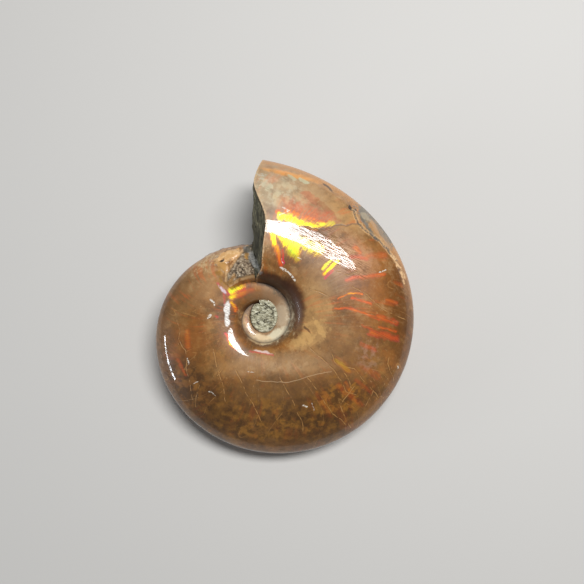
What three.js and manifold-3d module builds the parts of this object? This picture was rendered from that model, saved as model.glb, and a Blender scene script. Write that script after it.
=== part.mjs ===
// A polished fossil ammonite lying on its flank: one coiled shell, turned to stone inside.
// Millimetres, +Z up. The coil is worked out level, about an upright axis through the origin, growing
// anticlockwise. It is then leaned over to the way that it lies, and its lowest spots are ground flat.

import * as THREE from "three";
import Module from "manifold-3d";

const TURN = 2 * Math.PI;
const radians = THREE.MathUtils.degToRad;
const lerp = THREE.MathUtils.lerp;
const smoothstep = THREE.MathUtils.smoothstep;

// The coil. Ages are angles of growth from the tip of the keel, and the past is negative.
const KEEL_REACH = 24.4; // coil axis to the tip of the keel
const SEAM_REACH = 5.35; // coil axis to the seam on the whorl before, at the same age
const HALF_WIDTH = 6.75; // middle plane to the flank, at the same age
const GROWTH = 2.26; // each turn is this many times the one before
const TIP_BEARING = radians(91.5); // anticlockwise from +X
const KEEL_SWAY = { cos1: -0.11, sin1: 0.022, cos2: -0.025, sin2: 0.006 }; // shares of the keel's reach

// Half of the whorl's section, from the seam over the shoulder and the flank to the keel, as the control
// points of a cubic B-spline: [share of the way from seam to keel, share of the half width].
const HALF_SECTION = [
  [-0.05, 0.04],
  [0.0, 0.45],
  [0.05, 0.86],
  [0.2, 1.03],
  [0.42, 1.02],
  [0.64, 0.87],
  [0.84, 0.58],
  [0.955, 0.27],
  [1.0225, 0.0],
];
const FOOT_SHARE = 0.1; // the wall bends to meet the whorl before within this share

// The aperture, a break. It is past the tip at the seam, and falls back towards the keel and the flanks.
const BREAK_AGE = radians(7.5);
const KEEL_FALL = radians(7.5);
const UPPER_NOTCH = radians(10); // how far the upper flank's edge is broken back
const LOWER_NOTCH = radians(2);
const NOTCH_START = 0.12; // shares of the way from seam to keel
const NOTCH_FADE = [0.42, 0.8];
const FALL_SPREAD = radians(40); // the columns before the break bunch up over this much
const BREAK_RELIEF = 0.25; // lumps of stone on the break

// What is left of the next part of the whorl, broken off low on the whorl before.
const REMNANT_SPAN = radians(38);
const REMNANT_UPPER = 1.75;
const REMNANT_LOWER = 0.9;
const REMNANT_KEEL = 0.35;
const REMNANT_WALL = 1.3; // it rises over this width, beside the seam
const REMNANT_RELIEF = 0.14;

// The stone in the middle of the umbilicus, an ellipse with a slightly sloping face.
const PLUG = { x: 0.4, y: 0.42, radiusX: 2.1, radiusY: 2.5 };
const PLUG_HEIGHT = 1.95;
const PLUG_SLOPE = { x: 0.06, y: 0.13 };

// How it lies, and how much is ground off where it rests.
const REST_LEAN = radians(5.4);
const REST_BEARING = radians(-79); // the side that the coil axis leans to
const GROUND_DEPTH = 0.2;

// Faces
const COLUMNS = 84; // around one turn
const ROWS = 38; // from the upper seam over the keel to the lower seam
const UMBILICAL_ROWS = 4; // of these, the rows that a whorl shows inside the next whorl's seam
const MIDDLE_RINGS = 3;
const BREAK_RINGS = 4;
const SECTION_SAMPLES = 400;

const BREAK_START = BREAK_AGE - TURN; // the age of the whorl under the break

function bspline(points, position) {
  const first = THREE.MathUtils.clamp(Math.floor(position), 0, points.length - 4);
  const f = position - first;
  const weights = [
    (1 - f) ** 3 / 6,
    (3 * f ** 3 - 6 * f ** 2 + 4) / 6,
    (-3 * f ** 3 + 3 * f ** 2 + 3 * f + 1) / 6,
    f ** 3 / 6,
  ];
  const sum = (axis) => weights.reduce((total, weight, k) => total + weight * points[first + k][axis], 0);
  return { share: sum(0), width: sum(1) };
}

const LOWER_HALF = HALF_SECTION.slice(0, -1).reverse().map(([share, width]) => [share, -width]);
const SECTION = [...HALF_SECTION, ...LOWER_HALF];
const KEEL_POSITION = HALF_SECTION.length - 2; // the keel's place along the section

// The upper half of the section, sampled: place along it, share, width and length in shares of the height.
const SAMPLES = [];
for (let k = 0; k <= SECTION_SAMPLES; k++) {
  const position = (KEEL_POSITION * k) / SECTION_SAMPLES;
  const { share, width } = bspline(SECTION, position);
  const height = (width * HALF_WIDTH) / (KEEL_REACH - SEAM_REACH);
  const last = SAMPLES[k - 1];
  const length = last ? last.length + Math.hypot(share - last.share, height - last.height) : 0;
  SAMPLES.push({ position, share, width, height, length });
}
const HALF_LENGTH = SAMPLES[SECTION_SAMPLES].length;

// Looks up one column of the samples against another, both rising.
function lookUp(from, value, to) {
  const k = SAMPLES.findIndex((sample) => sample[from] >= value);
  if (k <= 0) return SAMPLES[k === 0 ? 0 : SECTION_SAMPLES][to];
  const [a, b] = [SAMPLES[k - 1], SAMPLES[k]];
  return lerp(a[to], b[to], (value - a[from]) / (b[from] - a[from]));
}

const growth = (age) => GROWTH ** (age / TURN);
const sway = (age) =>
  1 +
  KEEL_SWAY.cos1 * Math.cos(age) +
  KEEL_SWAY.sin1 * Math.sin(age) +
  KEEL_SWAY.cos2 * Math.cos(2 * age) +
  KEEL_SWAY.sin2 * Math.sin(2 * age);
const keelRadius = (age) => (KEEL_REACH * growth(age) * sway(age)) / sway(0);
const seamRadius = (age) => SEAM_REACH * growth(age);
const halfWidth = (age) => HALF_WIDTH * growth(age);

// The share of a whorl's height at which the next whorl's seam lies on it.
function nextSeamShare(age) {
  return (seamRadius(age + TURN) - seamRadius(age)) / (keelRadius(age) - seamRadius(age));
}

// The height of the seam above the middle plane: the flank of the whorl before, where the seam crosses it.
function seamHeight(age) {
  return halfWidth(age - TURN) * lookUp("share", nextSeamShare(age - TURN), "width");
}

// A point of the section at an age: its distance from the coil axis and its height.
function sectionPoint(age, position) {
  const { share, width } = bspline(SECTION, position);
  const radius = seamRadius(age) + share * (keelRadius(age) - seamRadius(age));
  const foot = seamHeight(age) - SAMPLES[0].width * halfWidth(age);
  const bend = Math.max(1 - share / FOOT_SHARE, 0) ** 2;
  return new THREE.Vector2(radius, width * halfWidth(age) + Math.sign(width) * foot * bend);
}

// The place of a row along the section. The first rows end at the next whorl's seam, and the rest are
// spaced evenly from there to the keel. The rows past the keel mirror them.
function rowPosition(age, row) {
  if (row > ROWS / 2) return 2 * KEEL_POSITION - rowPosition(age, ROWS - row);
  const seam = lookUp("share", nextSeamShare(age), "position");
  if (row <= UMBILICAL_ROWS) return (seam * row) / UMBILICAL_ROWS;
  const start = lookUp("position", seam, "length");
  const way = (row - UMBILICAL_ROWS) / (ROWS / 2 - UMBILICAL_ROWS);
  return lookUp("length", lerp(start, HALF_LENGTH, way), "position");
}

// How far the break falls back from its age at the seam.
function breakFall(position) {
  const { share, width } = bspline(SECTION, position);
  const notch = width > 0 ? UPPER_NOTCH : LOWER_NOTCH;
  const inside = smoothstep(share, 0, NOTCH_START) * (1 - smoothstep(share, ...NOTCH_FADE));
  return KEEL_FALL * share ** 2 + notch * inside;
}

// How thick the remnant is on the whorl before, at a row there.
function remnantThickness(age, row) {
  const along = (age - BREAK_START) / REMNANT_SPAN;
  const halfRow = Math.min(row, ROWS - row);
  if (along >= 1 || halfRow <= UMBILICAL_ROWS) return 0;
  const height = keelRadius(age) - seamRadius(age);
  const seam = lookUp("share", nextSeamShare(age), "length");
  const length = lookUp("position", rowPosition(age, halfRow), "length");
  const rise = smoothstep((length - seam) * height, 0, REMNANT_WALL);
  const outward = (length - seam) / (HALF_LENGTH - seam);
  const side = row < ROWS / 2 ? REMNANT_UPPER : REMNANT_LOWER;
  const lumps = REMNANT_RELIEF * Math.sin(7 * age + 1.9 * row) * Math.cos(2.3 * row - 11 * age);
  return (lerp(side, REMNANT_KEEL, outward) + lumps) * rise * (1 - along) ** 0.7;
}

function place(age, radius, height) {
  const bearing = TIP_BEARING + age;
  return new THREE.Vector3(radius * Math.cos(bearing), radius * Math.sin(bearing), height);
}

// A point of the shell at a column's age and a row.
function shellPoint(age, row) {
  const position = rowPosition(age, row);
  const near = smoothstep(age, BREAK_AGE - FALL_SPREAD, BREAK_AGE);
  const at = age - breakFall(position) * near;
  const point = sectionPoint(at, position);
  const step = 0.01;
  const along = sectionPoint(at, position + step).sub(sectionPoint(at, position - step)).normalize();
  const thickness = age < BREAK_START + REMNANT_SPAN ? remnantThickness(age, row) : 0;
  return place(at, point.x - along.y * thickness, point.y + along.x * thickness);
}

const plugHeight = (x, y) => PLUG_HEIGHT + PLUG_SLOPE.x * x + PLUG_SLOPE.y * y;
const inPlug = (x, y) => Math.hypot((x - PLUG.x) / PLUG.radiusX, (y - PLUG.y) / PLUG.radiusY) < 1;

// The whole surface as points and triangles, level and about the coil axis.
function coilSurface() {
  const points = [];
  const triangles = [];
  const add = (point) => points.push(point) - 1;
  const triangle = (a, b, c) => {
    if (a !== b && b !== c && c !== a) triangles.push(a, b, c);
  };
  const quad = (a, b, c, d) => {
    triangle(a, b, c);
    triangle(a, c, d);
  };

  // The last whorl, a grid of columns along it and rows across it.
  const whorl = [];
  for (let column = 0; column <= COLUMNS; column++) {
    const age = BREAK_START + (TURN * column) / COLUMNS;
    whorl.push([]);
    for (let row = 0; row <= ROWS; row++) whorl[column].push(add(shellPoint(age, row)));
  }
  // The seam ends where the whorl's own start already has a point.
  whorl[COLUMNS][0] = whorl[0][UMBILICAL_ROWS];
  whorl[COLUMNS][ROWS] = whorl[0][ROWS - UMBILICAL_ROWS];
  for (let column = 0; column < COLUMNS; column++) {
    for (let row = 0; row < ROWS; row++) {
      const [near, far] = [whorl[column], whorl[column + 1]];
      quad(near[row], near[row + 1], far[row + 1], far[row]);
    }
  }

  // On both sides, the turn before shows between its own seam and the last whorl's, and the stone of the
  // umbilicus fills what is left in the middle.
  for (const side of [1, -1]) {
    const face = side > 0 ? quad : (a, b, c, d) => quad(a, d, c, b);
    const rowOf = (row) => (side > 0 ? row : ROWS - row);
    const turn = [];
    for (let column = 0; column < COLUMNS; column++) {
      const age = BREAK_START - TURN + (TURN * column) / COLUMNS;
      turn.push([]);
      for (let row = 0; row < UMBILICAL_ROWS; row++) {
        const point = shellPoint(age, row);
        if (inPlug(point.x, point.y)) point.z = plugHeight(point.x, point.y);
        point.z *= side;
        turn[column].push(add(point));
      }
      turn[column].push(whorl[column][rowOf(0)]);
    }
    const start = [];
    for (let row = 0; row <= UMBILICAL_ROWS; row++) start.push(whorl[0][rowOf(row)]);
    turn.push(start);
    for (let column = 0; column < COLUMNS; column++) {
      for (let row = 0; row < UMBILICAL_ROWS; row++) {
        const [near, far] = [turn[column], turn[column + 1]];
        face(near[row], near[row + 1], far[row + 1], far[row]);
      }
    }
    const middle = new THREE.Vector3(PLUG.x, PLUG.y, side * plugHeight(PLUG.x, PLUG.y));
    let ring = turn.map((column) => column[0]);
    for (let row = UMBILICAL_ROWS - 1; row > 0; row--) ring.push(turn[0][row]);
    const rim = ring.map((index) => points[index]);
    for (let k = 1; k <= MIDDLE_RINGS; k++) {
      const centre = k === MIDDLE_RINGS ? add(middle) : null;
      const inner = rim.map((edge) => {
        if (centre !== null) return centre;
        const point = edge.clone().lerp(middle, k / MIDDLE_RINGS);
        point.z = side * plugHeight(point.x, point.y);
        return add(point);
      });
      ring.forEach((outer, n) => {
        const next = (n + 1) % ring.length;
        face(inner[n], outer, ring[next], inner[next]);
      });
      ring = inner;
    }
  }

  // The break: rings from the whorl's edge to the outline of the whorl before, stitched on there.
  const foot = whorl[0].slice(UMBILICAL_ROWS, ROWS - UMBILICAL_ROWS + 1);
  const footWays = waysAlong(foot.map((index) => points[index]));
  const edge = whorl[COLUMNS];
  const edgeWays = edge.map((index, row) => row / ROWS);
  let ring = edge;
  for (let k = 1; k < BREAK_RINGS; k++) {
    const inward = k / BREAK_RINGS;
    const inner = edge.map((index, row) => {
      if (row === 0 || row === ROWS) return index;
      const target = alongPoints(foot.map((f) => points[f]), footWays, edgeWays[row]);
      const point = points[index].clone().lerp(target, inward);
      const lump = Math.sin(1.7 * row + 2 * k) * Math.sin(0.6 * row - k) * Math.sin(Math.PI * edgeWays[row]);
      point.x -= BREAK_RELIEF * lump;
      return add(point);
    });
    for (let row = 0; row < ROWS; row++) quad(ring[row], ring[row + 1], inner[row + 1], inner[row]);
    ring = inner;
  }
  let [a, b] = [0, 0];
  while (a < ring.length - 1 || b < foot.length - 1) {
    const nextA = a < ring.length - 1 ? (edgeWays[a] + edgeWays[a + 1]) / 2 : Infinity;
    const nextB = b < foot.length - 1 ? (footWays[b] + footWays[b + 1]) / 2 : Infinity;
    if (nextA <= nextB) {
      triangle(ring[a], ring[a + 1], foot[b]);
      a += 1;
    } else {
      triangle(ring[a], foot[b + 1], foot[b]);
      b += 1;
    }
  }
  return { points, triangles };
}

// How far along a line of points each one is, from 0 to 1.
function waysAlong(line) {
  const lengths = [0];
  for (let k = 1; k < line.length; k++) lengths.push(lengths[k - 1] + line[k].distanceTo(line[k - 1]));
  return lengths.map((length) => length / lengths[line.length - 1]);
}

function alongPoints(line, ways, way) {
  const k = Math.max(1, ways.findIndex((w) => w >= way));
  return line[k - 1].clone().lerp(line[k], (way - ways[k - 1]) / (ways[k] - ways[k - 1]));
}

// Leans the coil to its rest, grinds its lowest spots flat at the floor and centres it there.
async function restingGeometry({ points, triangles }) {
  const towards = new THREE.Vector3(Math.cos(REST_BEARING), Math.sin(REST_BEARING), 0);
  const hinge = new THREE.Vector3(0, 0, 1).cross(towards);
  points.forEach((point) => point.applyAxisAngle(hinge, REST_LEAN));
  const lowest = Math.min(...points.map((point) => point.z));
  points.forEach((point) => point.setZ(point.z - lowest - GROUND_DEPTH));

  const wasm = await Module();
  wasm.setup();
  const whole = new wasm.Manifold(
    new wasm.Mesh({
      numProp: 3,
      vertProperties: new Float32Array(points.flatMap((point) => point.toArray())),
      triVerts: new Uint32Array(triangles),
    }),
  );
  const ground = whole.trimByPlane([0, 0, 1], 0).getMesh();
  const geometry = new THREE.BufferGeometry();
  geometry.setAttribute("position", new THREE.BufferAttribute(ground.vertProperties, 3));
  geometry.setIndex(new THREE.BufferAttribute(ground.triVerts, 1));
  geometry.computeBoundingBox();
  const middle = geometry.boundingBox.getCenter(new THREE.Vector3());
  geometry.translate(-middle.x, -middle.y, 0);
  geometry.computeVertexNormals();
  return geometry;
}

const shell = new THREE.MeshStandardMaterial({ color: 0x8a5c33, roughness: 0.25, metalness: 0 });
const ammonite = new THREE.Mesh(await restingGeometry(coilSurface()), shell);
ammonite.name = "ammonite";

const fossil = new THREE.Group();
fossil.add(ammonite);

export default fossil;
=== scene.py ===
"""A polished fossil ammonite lying on its flank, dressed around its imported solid.

The fossil is one closed surface: a whorl section carried along a spiral, broken off at the aperture and
filled with stone in the umbilicus. It is worked out level, in millimetres, about an upright coil axis, and
`Rest` leans it over, grinds its lowest spots and sets it in the frame, in metres.
"""

import logging
import math
from dataclasses import dataclass, field, replace
from enum import Enum
from typing import Any, Mapping, Protocol, Sequence, Union

import bpy
import numpy as np
from mathutils import Matrix, Quaternion, Vector


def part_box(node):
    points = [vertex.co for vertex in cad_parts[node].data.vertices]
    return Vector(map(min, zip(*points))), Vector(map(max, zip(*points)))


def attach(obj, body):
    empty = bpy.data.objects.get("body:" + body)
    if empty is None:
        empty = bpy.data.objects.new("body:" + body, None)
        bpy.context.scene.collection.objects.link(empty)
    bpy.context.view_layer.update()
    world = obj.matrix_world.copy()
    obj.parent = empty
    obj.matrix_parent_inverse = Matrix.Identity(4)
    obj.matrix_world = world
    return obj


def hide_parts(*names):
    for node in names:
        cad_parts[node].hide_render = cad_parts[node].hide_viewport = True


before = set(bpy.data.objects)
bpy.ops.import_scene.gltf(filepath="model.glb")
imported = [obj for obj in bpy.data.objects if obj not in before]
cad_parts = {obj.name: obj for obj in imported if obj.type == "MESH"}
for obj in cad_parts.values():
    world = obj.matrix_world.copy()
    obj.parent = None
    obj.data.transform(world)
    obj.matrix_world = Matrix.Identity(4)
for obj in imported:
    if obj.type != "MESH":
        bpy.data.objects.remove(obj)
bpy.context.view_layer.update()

MM = 0.001
TURN = 2 * math.pi
NODE = "ammonite"
FAR = 9.0  # millimetres: a depth of -FAR, or a gap of FAR, is past every edge that a finish draws
log = logging.getLogger("fossil")


# --- numbers ---------------------------------------------------------------------------------------------


def smoothstep(value: np.ndarray, low: float, high: float) -> np.ndarray:
    """Rises from 0 at low to 1 at high as 3 t^2 - 2 t^3.

    Args:
        value: The numbers to shape.
        low: Where the rise starts.
        high: Where the rise ends.

    Returns:
        Numbers from 0 to 1.
    """
    t = np.clip((value - low) / (high - low), 0.0, 1.0)
    return t * t * (3.0 - 2.0 * t)


def lattice_noise(points: np.ndarray, size: float, seed: int) -> np.ndarray:
    """Smooth noise: random numbers at the corners of a cubic lattice, blended inside each cube by smoothstep.

    Args:
        points: Places, as rows of x, y and z.
        size: The lattice's spacing, in the unit of the places.
        seed: Picks the random numbers.

    Returns:
        One number from -1 to 1 for each place.
    """
    table = np.random.default_rng(seed).uniform(-1.0, 1.0, 8192)
    cell = np.floor(points / size).astype(np.int64)
    inside = points / size - cell
    blend = inside * inside * (3.0 - 2.0 * inside)
    total = np.zeros(len(points))
    for corner in np.ndindex(2, 2, 2):
        x, y, z = (cell + corner).T
        value = table[((x * 73856093) ^ (y * 19349663) ^ (z * 83492791)) % len(table)]
        total += value * np.prod(np.where(np.array(corner) == 1, blend, 1.0 - blend), axis=1)
    return total


def layered_noise(points: np.ndarray, size: float, seed: int, layers: int = 3) -> np.ndarray:
    """Sums lattice noise at halving sizes and strengths.

    Args:
        points: Places, as rows of x, y and z.
        size: The coarsest spacing.
        seed: Picks the random numbers.
        layers: How many sizes are summed.

    Returns:
        One number, roughly from -1 to 1, for each place.
    """
    sums = [lattice_noise(points, size / 2**k, seed + k) / 2**k for k in range(layers)]
    return np.sum(sums, axis=0) / 1.5


# --- the coil --------------------------------------------------------------------------------------------


@dataclass
class WhorlSection:
    """A whorl's section from the upper seam over the keel to the lower seam, as a cubic B-spline.

    A place along it is the spline's own parameter, 0 at the upper seam and `keel` at the keel. A control
    point is a share of the way from seam to keel and a share of the half width.
    """

    upper_half: tuple[tuple[float, float], ...] = (
        (-0.05, 0.04),
        (0.0, 0.45),
        (0.05, 0.86),
        (0.20, 1.03),
        (0.42, 1.02),
        (0.64, 0.87),
        (0.84, 0.58),
        (0.955, 0.27),
        (1.0225, 0.0),
    )
    width_to_height: float = 6.75 / (24.4 - 5.35)
    samples: int = 4000

    def __post_init__(self) -> None:
        """Mirrors the control points and tabulates the upper half."""
        half = np.array(self.upper_half)
        self.control = np.concatenate([half, (half * (1, -1))[-2::-1]])
        self.keel = float(len(half) - 2)
        self.places = np.linspace(0.0, self.keel, self.samples + 1)
        self.shares, self.widths = self.at(self.places)
        steps = np.hypot(np.diff(self.shares), np.diff(self.widths) * self.width_to_height)
        self.lengths = np.concatenate([[0.0], np.cumsum(steps)])

    def at(self, place: np.ndarray) -> tuple[np.ndarray, np.ndarray]:
        """The spline: four control points weighted by the uniform cubic B-spline basis.

        Args:
            place: Places along the section.

        Returns:
            The share of the way from seam to keel, and the share of the half width.
        """
        first = np.clip(np.floor(place).astype(int), 0, len(self.control) - 4)
        f = place - first
        weights = (
            (1 - f) ** 3 / 6,
            (3 * f**3 - 6 * f**2 + 4) / 6,
            (-3 * f**3 + 3 * f**2 + 3 * f + 1) / 6,
            f**3 / 6,
        )
        both = sum(weight[..., None] * self.control[first + k] for k, weight in enumerate(weights))
        return both[..., 0], both[..., 1]

    def place_at_share(self, share: np.ndarray) -> np.ndarray:
        """The place on the upper half at a share of the way from seam to keel."""
        return np.interp(share, self.shares, self.places)

    def width_at_share(self, share: np.ndarray) -> np.ndarray:
        """The share of the half width at a share of the way from seam to keel."""
        return np.interp(share, self.shares, self.widths)

    def length_at_place(self, place: np.ndarray) -> np.ndarray:
        """The length from the upper seam to a place on the upper half, in shares of the height."""
        return np.interp(place, self.places, self.lengths)

    def place_at_length(self, length: np.ndarray) -> np.ndarray:
        """The place on the upper half at a length from the upper seam."""
        return np.interp(length, self.lengths, self.places)


@dataclass
class Coil:
    """The spiral that the section is carried along. An age is an angle of growth past the keel's tip."""

    section: WhorlSection = field(default_factory=WhorlSection)
    keel_reach: float = 24.4
    seam_reach: float = 5.35
    half_width: float = 6.75
    growth_per_turn: float = 2.26
    tip_bearing: float = math.radians(91.5)
    sway: tuple[float, float, float, float] = (-0.11, 0.022, -0.025, 0.006)
    foot_share: float = 0.10

    def growth(self, age: np.ndarray) -> np.ndarray:
        """Size against the size at age 0: the growth of one turn to the power of the turns."""
        return self.growth_per_turn ** (age / TURN)

    def keel_sway(self, age: np.ndarray) -> np.ndarray:
        """How far the keel strays from its spiral: two cosines and two sines of the age."""
        cos1, sin1, cos2, sin2 = self.sway
        return 1 + cos1 * np.cos(age) + sin1 * np.sin(age) + cos2 * np.cos(2 * age) + sin2 * np.sin(2 * age)

    def keel_radius(self, age: np.ndarray) -> np.ndarray:
        """Coil axis to keel."""
        return self.keel_reach * self.growth(age) * self.keel_sway(age) / self.keel_sway(np.zeros(1))

    def seam_radius(self, age: np.ndarray) -> np.ndarray:
        """Coil axis to the seam on the whorl before."""
        return self.seam_reach * self.growth(age)

    def flank_height(self, age: np.ndarray) -> np.ndarray:
        """Middle plane to flank."""
        return self.half_width * self.growth(age)

    def next_seam_share(self, age: np.ndarray) -> np.ndarray:
        """The share of a whorl's height at which the next whorl's seam lies on it."""
        seam = self.seam_radius(age)
        return (self.seam_radius(age + TURN) - seam) / (self.keel_radius(age) - seam)

    def seam_height(self, age: np.ndarray) -> np.ndarray:
        """The flank of the whorl before, where this whorl's seam crosses it."""
        return self.flank_height(age - TURN) * self.section.width_at_share(self.next_seam_share(age - TURN))

    def across(self, age: np.ndarray, place: np.ndarray) -> tuple[np.ndarray, np.ndarray]:
        """The section at an age, with its foot bent to meet the whorl before.

        Args:
            age: Ages, one for each place.
            place: Places along the section.

        Returns:
            Distances from the coil axis and heights above the middle plane.
        """
        share, width = self.section.at(place)
        seam = self.seam_radius(age)
        radius = seam + share * (self.keel_radius(age) - seam)
        foot = self.seam_height(age) - self.section.widths[0] * self.flank_height(age)
        bend = np.clip(1 - share / self.foot_share, 0, None) ** 2
        return radius, width * self.flank_height(age) + np.sign(width) * foot * bend

    def level(self, age: np.ndarray, radius: np.ndarray, height: np.ndarray) -> np.ndarray:
        """Cylindrical to level places: the bearing is the tip's bearing plus the age."""
        bearing = self.tip_bearing + age
        return np.stack([radius * np.cos(bearing), radius * np.sin(bearing), height], axis=-1)


@dataclass
class Break:
    """The aperture, broken across. It is past the tip at the seam and falls back towards the keel."""

    age: float = math.radians(7.5)
    keel_fall: float = math.radians(7.5)
    upper_notch: float = math.radians(10)
    lower_notch: float = math.radians(2)
    notch_start: float = 0.12
    notch_fade: tuple[float, float] = (0.42, 0.80)
    spread: float = math.radians(40)

    def fall(self, share: np.ndarray, width: np.ndarray) -> np.ndarray:
        """How far back the edge is: the square of the share, and a notch that is deeper on the upper flank.

        Args:
            share: Shares of the way from seam to keel.
            width: Shares of the half width, negative on the lower flank.

        Returns:
            Angles of age.
        """
        notch = np.where(width > 0, self.upper_notch, self.lower_notch)
        inside = smoothstep(share, 0, self.notch_start) * (1 - smoothstep(share, *self.notch_fade))
        return self.keel_fall * share**2 + notch * inside


@dataclass
class Remnant:
    """What is left of the next part of the whorl, broken off low on the whorl before.

    Shell still clings to its far end on the upper side, up to lines through a point with a bearing past them.
    """

    span: float = math.radians(38)
    upper: float = 1.75
    lower: float = 0.9
    keel: float = 0.35
    wall: float = 1.3
    bare_from: float = 0.85
    clinging: tuple[tuple[float, float, float], ...] = ((-5.2, 4.0, 0.0), (-5.0, 6.9, -31.5))

    def bare(self, points: np.ndarray) -> np.ndarray:
        """Least distance past the lines of clinging shell, negative before them.

        Args:
            points: Level places.

        Returns:
            Distances.
        """
        past = []
        for x, y, bearing in self.clinging:
            across = math.cos(math.radians(bearing)), math.sin(math.radians(bearing))
            past.append((points[..., 0] - x) * across[0] + (points[..., 1] - y) * across[1])
        return np.minimum(*past)

    def thickness(
        self, along: np.ndarray, beside: np.ndarray, outward: np.ndarray, above: np.ndarray
    ) -> np.ndarray:
        """A wall that rises beside the seam, and a top that thins to the keel and towards the far end.

        Args:
            along: From 0 at the aperture to 1 at the far end.
            beside: Distance from the seam.
            outward: From 0 at the seam to 1 at the keel.
            above: True on the upper flank.

        Returns:
            Thicknesses on the whorl before.
        """
        side = np.where(above, self.upper, self.lower)
        top = side + (self.keel - side) * outward
        return top * smoothstep(beside, 0, self.wall) * np.clip(1 - along, 0, 1) ** 0.7


@dataclass(frozen=True)
class Lump:
    """A ragged oval rise, or a dent, on the upper side, in level millimetres and degrees."""

    centre: tuple[float, float]
    radii: tuple[float, float]
    turn: float
    height: float

    def rise(self, points: np.ndarray, fray: np.ndarray) -> np.ndarray:
        """How far points are moved: the height times a smooth fall over the oval's edge.

        Args:
            points: Level places.
            fray: Noise that makes the edge ragged.

        Returns:
            Heights.
        """
        east, north = math.cos(math.radians(self.turn)), math.sin(math.radians(self.turn))
        x, y = points[:, 0] - self.centre[0], points[:, 1] - self.centre[1]
        reach = np.hypot((x * east + y * north) / self.radii[0], (y * east - x * north) / self.radii[1])
        return self.height * (1 - smoothstep(reach + 0.5 * fray, 0.65, 1.15)) * (points[:, 2] > 0.4)


@dataclass
class UmbilicalStone:
    """The stone in the middle of the umbilicus, an ellipse with a slightly sloping face."""

    centre: tuple[float, float] = (0.4, 0.42)
    radii: tuple[float, float] = (2.1, 2.5)
    height: float = 1.95
    slope: tuple[float, float] = (0.06, 0.13)

    def inwards(self, points: np.ndarray) -> np.ndarray:
        """Distance in from the ellipse's edge, negative outside: 1 less the scaled radius, times its size."""
        scaled = np.hypot(*((points[..., k] - self.centre[k]) / self.radii[k] for k in (0, 1)))
        return (1 - scaled) * sum(self.radii) / 2

    def level(self, points: np.ndarray) -> np.ndarray:
        """The face's height: a plane over x and y."""
        return self.height + self.slope[0] * points[..., 0] + self.slope[1] * points[..., 1]


# --- the surface -----------------------------------------------------------------------------------------


class Surface:
    """Grids of points joined into one closed surface of triangles.

    Each point has three stone depths, and each triangle's corner its growth: growth line, way, seam gap.
    """

    def __init__(self) -> None:
        """Starts with no points."""
        self._points: list[np.ndarray] = []
        self._stones: list[np.ndarray] = []
        self._triangles: list[np.ndarray] = []
        self._growths: list[np.ndarray] = []
        self._count = 0

    def add(self, points: np.ndarray, stone: np.ndarray) -> np.ndarray:
        """Adds points.

        Args:
            points: Level places in an array of any shape, with x, y and z last.
            stone: Their depths into the umbilical, broken and remnant stone, in the same shape.

        Returns:
            Their numbers, in the same shape without the last axis.
        """
        shape = points.shape[:-1]
        count = int(np.prod(shape))
        self._points.append(points.reshape(-1, 3))
        self._stones.append(stone.reshape(-1, 3))
        numbers = np.arange(self._count, self._count + count).reshape(shape)
        self._count += count
        return numbers

    def triangles(self, corners: np.ndarray, growth: np.ndarray, turned: bool = False) -> None:
        """Adds triangles, without those that a repeated corner makes empty.

        Args:
            corners: Point numbers, three to a row.
            growth: Growths of the corners, in rows of three by three.
            turned: Turns the triangles over.
        """
        a, b, c = corners.T
        kept = (a != b) & (b != c) & (c != a)
        order = (0, 2, 1) if turned else (0, 1, 2)
        self._triangles.append(corners[kept][:, order])
        self._growths.append(growth[kept][:, order])

    def grid(self, numbers: np.ndarray, growth: np.ndarray, turned: bool = False) -> None:
        """Joins a grid of points, two triangles to a cell.

        Args:
            numbers: Point numbers, by column and row.
            growth: Growths, by column and row.
            turned: Turns the triangles over.
        """
        columns, rows = (count - 1 for count in numbers.shape)
        for picks in (((0, 0), (0, 1), (1, 1)), ((0, 0), (1, 1), (1, 0))):
            cuts = [(slice(column, column + columns), slice(row, row + rows)) for column, row in picks]
            corners = np.stack([numbers[cut].ravel() for cut in cuts], axis=1)
            values = np.stack([growth[cut].reshape(-1, 3) for cut in cuts], axis=1)
            self.triangles(corners, values, turned)

    def stitch(self, first: np.ndarray, second: np.ndarray, ways: tuple[np.ndarray, np.ndarray]) -> None:
        """Joins two lines of points with the same ends and different counts.

        The steps of both lines are put in order of their middles, and each step makes one triangle with the
        point that the other line has reached.

        Args:
            first: Point numbers of the first line.
            second: Point numbers of the second line.
            ways: How far along its line each point is, from 0 to 1, for both lines.
        """
        middles = [(way[1:] + way[:-1]) / 2 for way in ways]
        kind = np.concatenate([np.zeros(len(middles[0]), int), np.ones(len(middles[1]), int)])
        kind = kind[np.argsort(np.concatenate(middles), kind="stable")]
        on_second = np.cumsum(kind) - kind
        on_first = np.cumsum(1 - kind) - (1 - kind)
        corners = np.empty((len(kind), 3), int)
        step = kind == 0
        one, other = on_first[step], on_second[step]
        corners[step] = np.stack([first[one], first[one + 1], second[other]], axis=1)
        one, other = on_first[~step], on_second[~step]
        corners[~step] = np.stack([first[one], second[other + 1], second[other]], axis=1)
        self.triangles(corners, np.zeros((len(kind), 3, 3)))

    def so_far(self) -> np.ndarray:
        """Every point that was added, in the order of the points' numbers."""
        return np.concatenate(self._points)

    def gather(self) -> None:
        """Joins what was added into whole arrays: `points`, `stone`, `faces` and `growth`."""
        self.points = self.so_far()
        self.stone = np.concatenate(self._stones)
        self.faces = np.concatenate(self._triangles)
        self.growth = np.concatenate(self._growths)

    def normals(self) -> np.ndarray:
        """Each point's normal: the sum of its triangles' cross products, made a unit long."""
        a, b, c = (self.points[self.faces[:, k]] for k in range(3))
        cross = np.cross(b - a, c - a)
        total = np.zeros_like(self.points)
        for axis in range(3):
            for corner in range(3):
                total[:, axis] += np.bincount(self.faces[:, corner], cross[:, axis], len(self.points))
        return total / np.linalg.norm(total, axis=1, keepdims=True).clip(1e-12)


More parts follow.
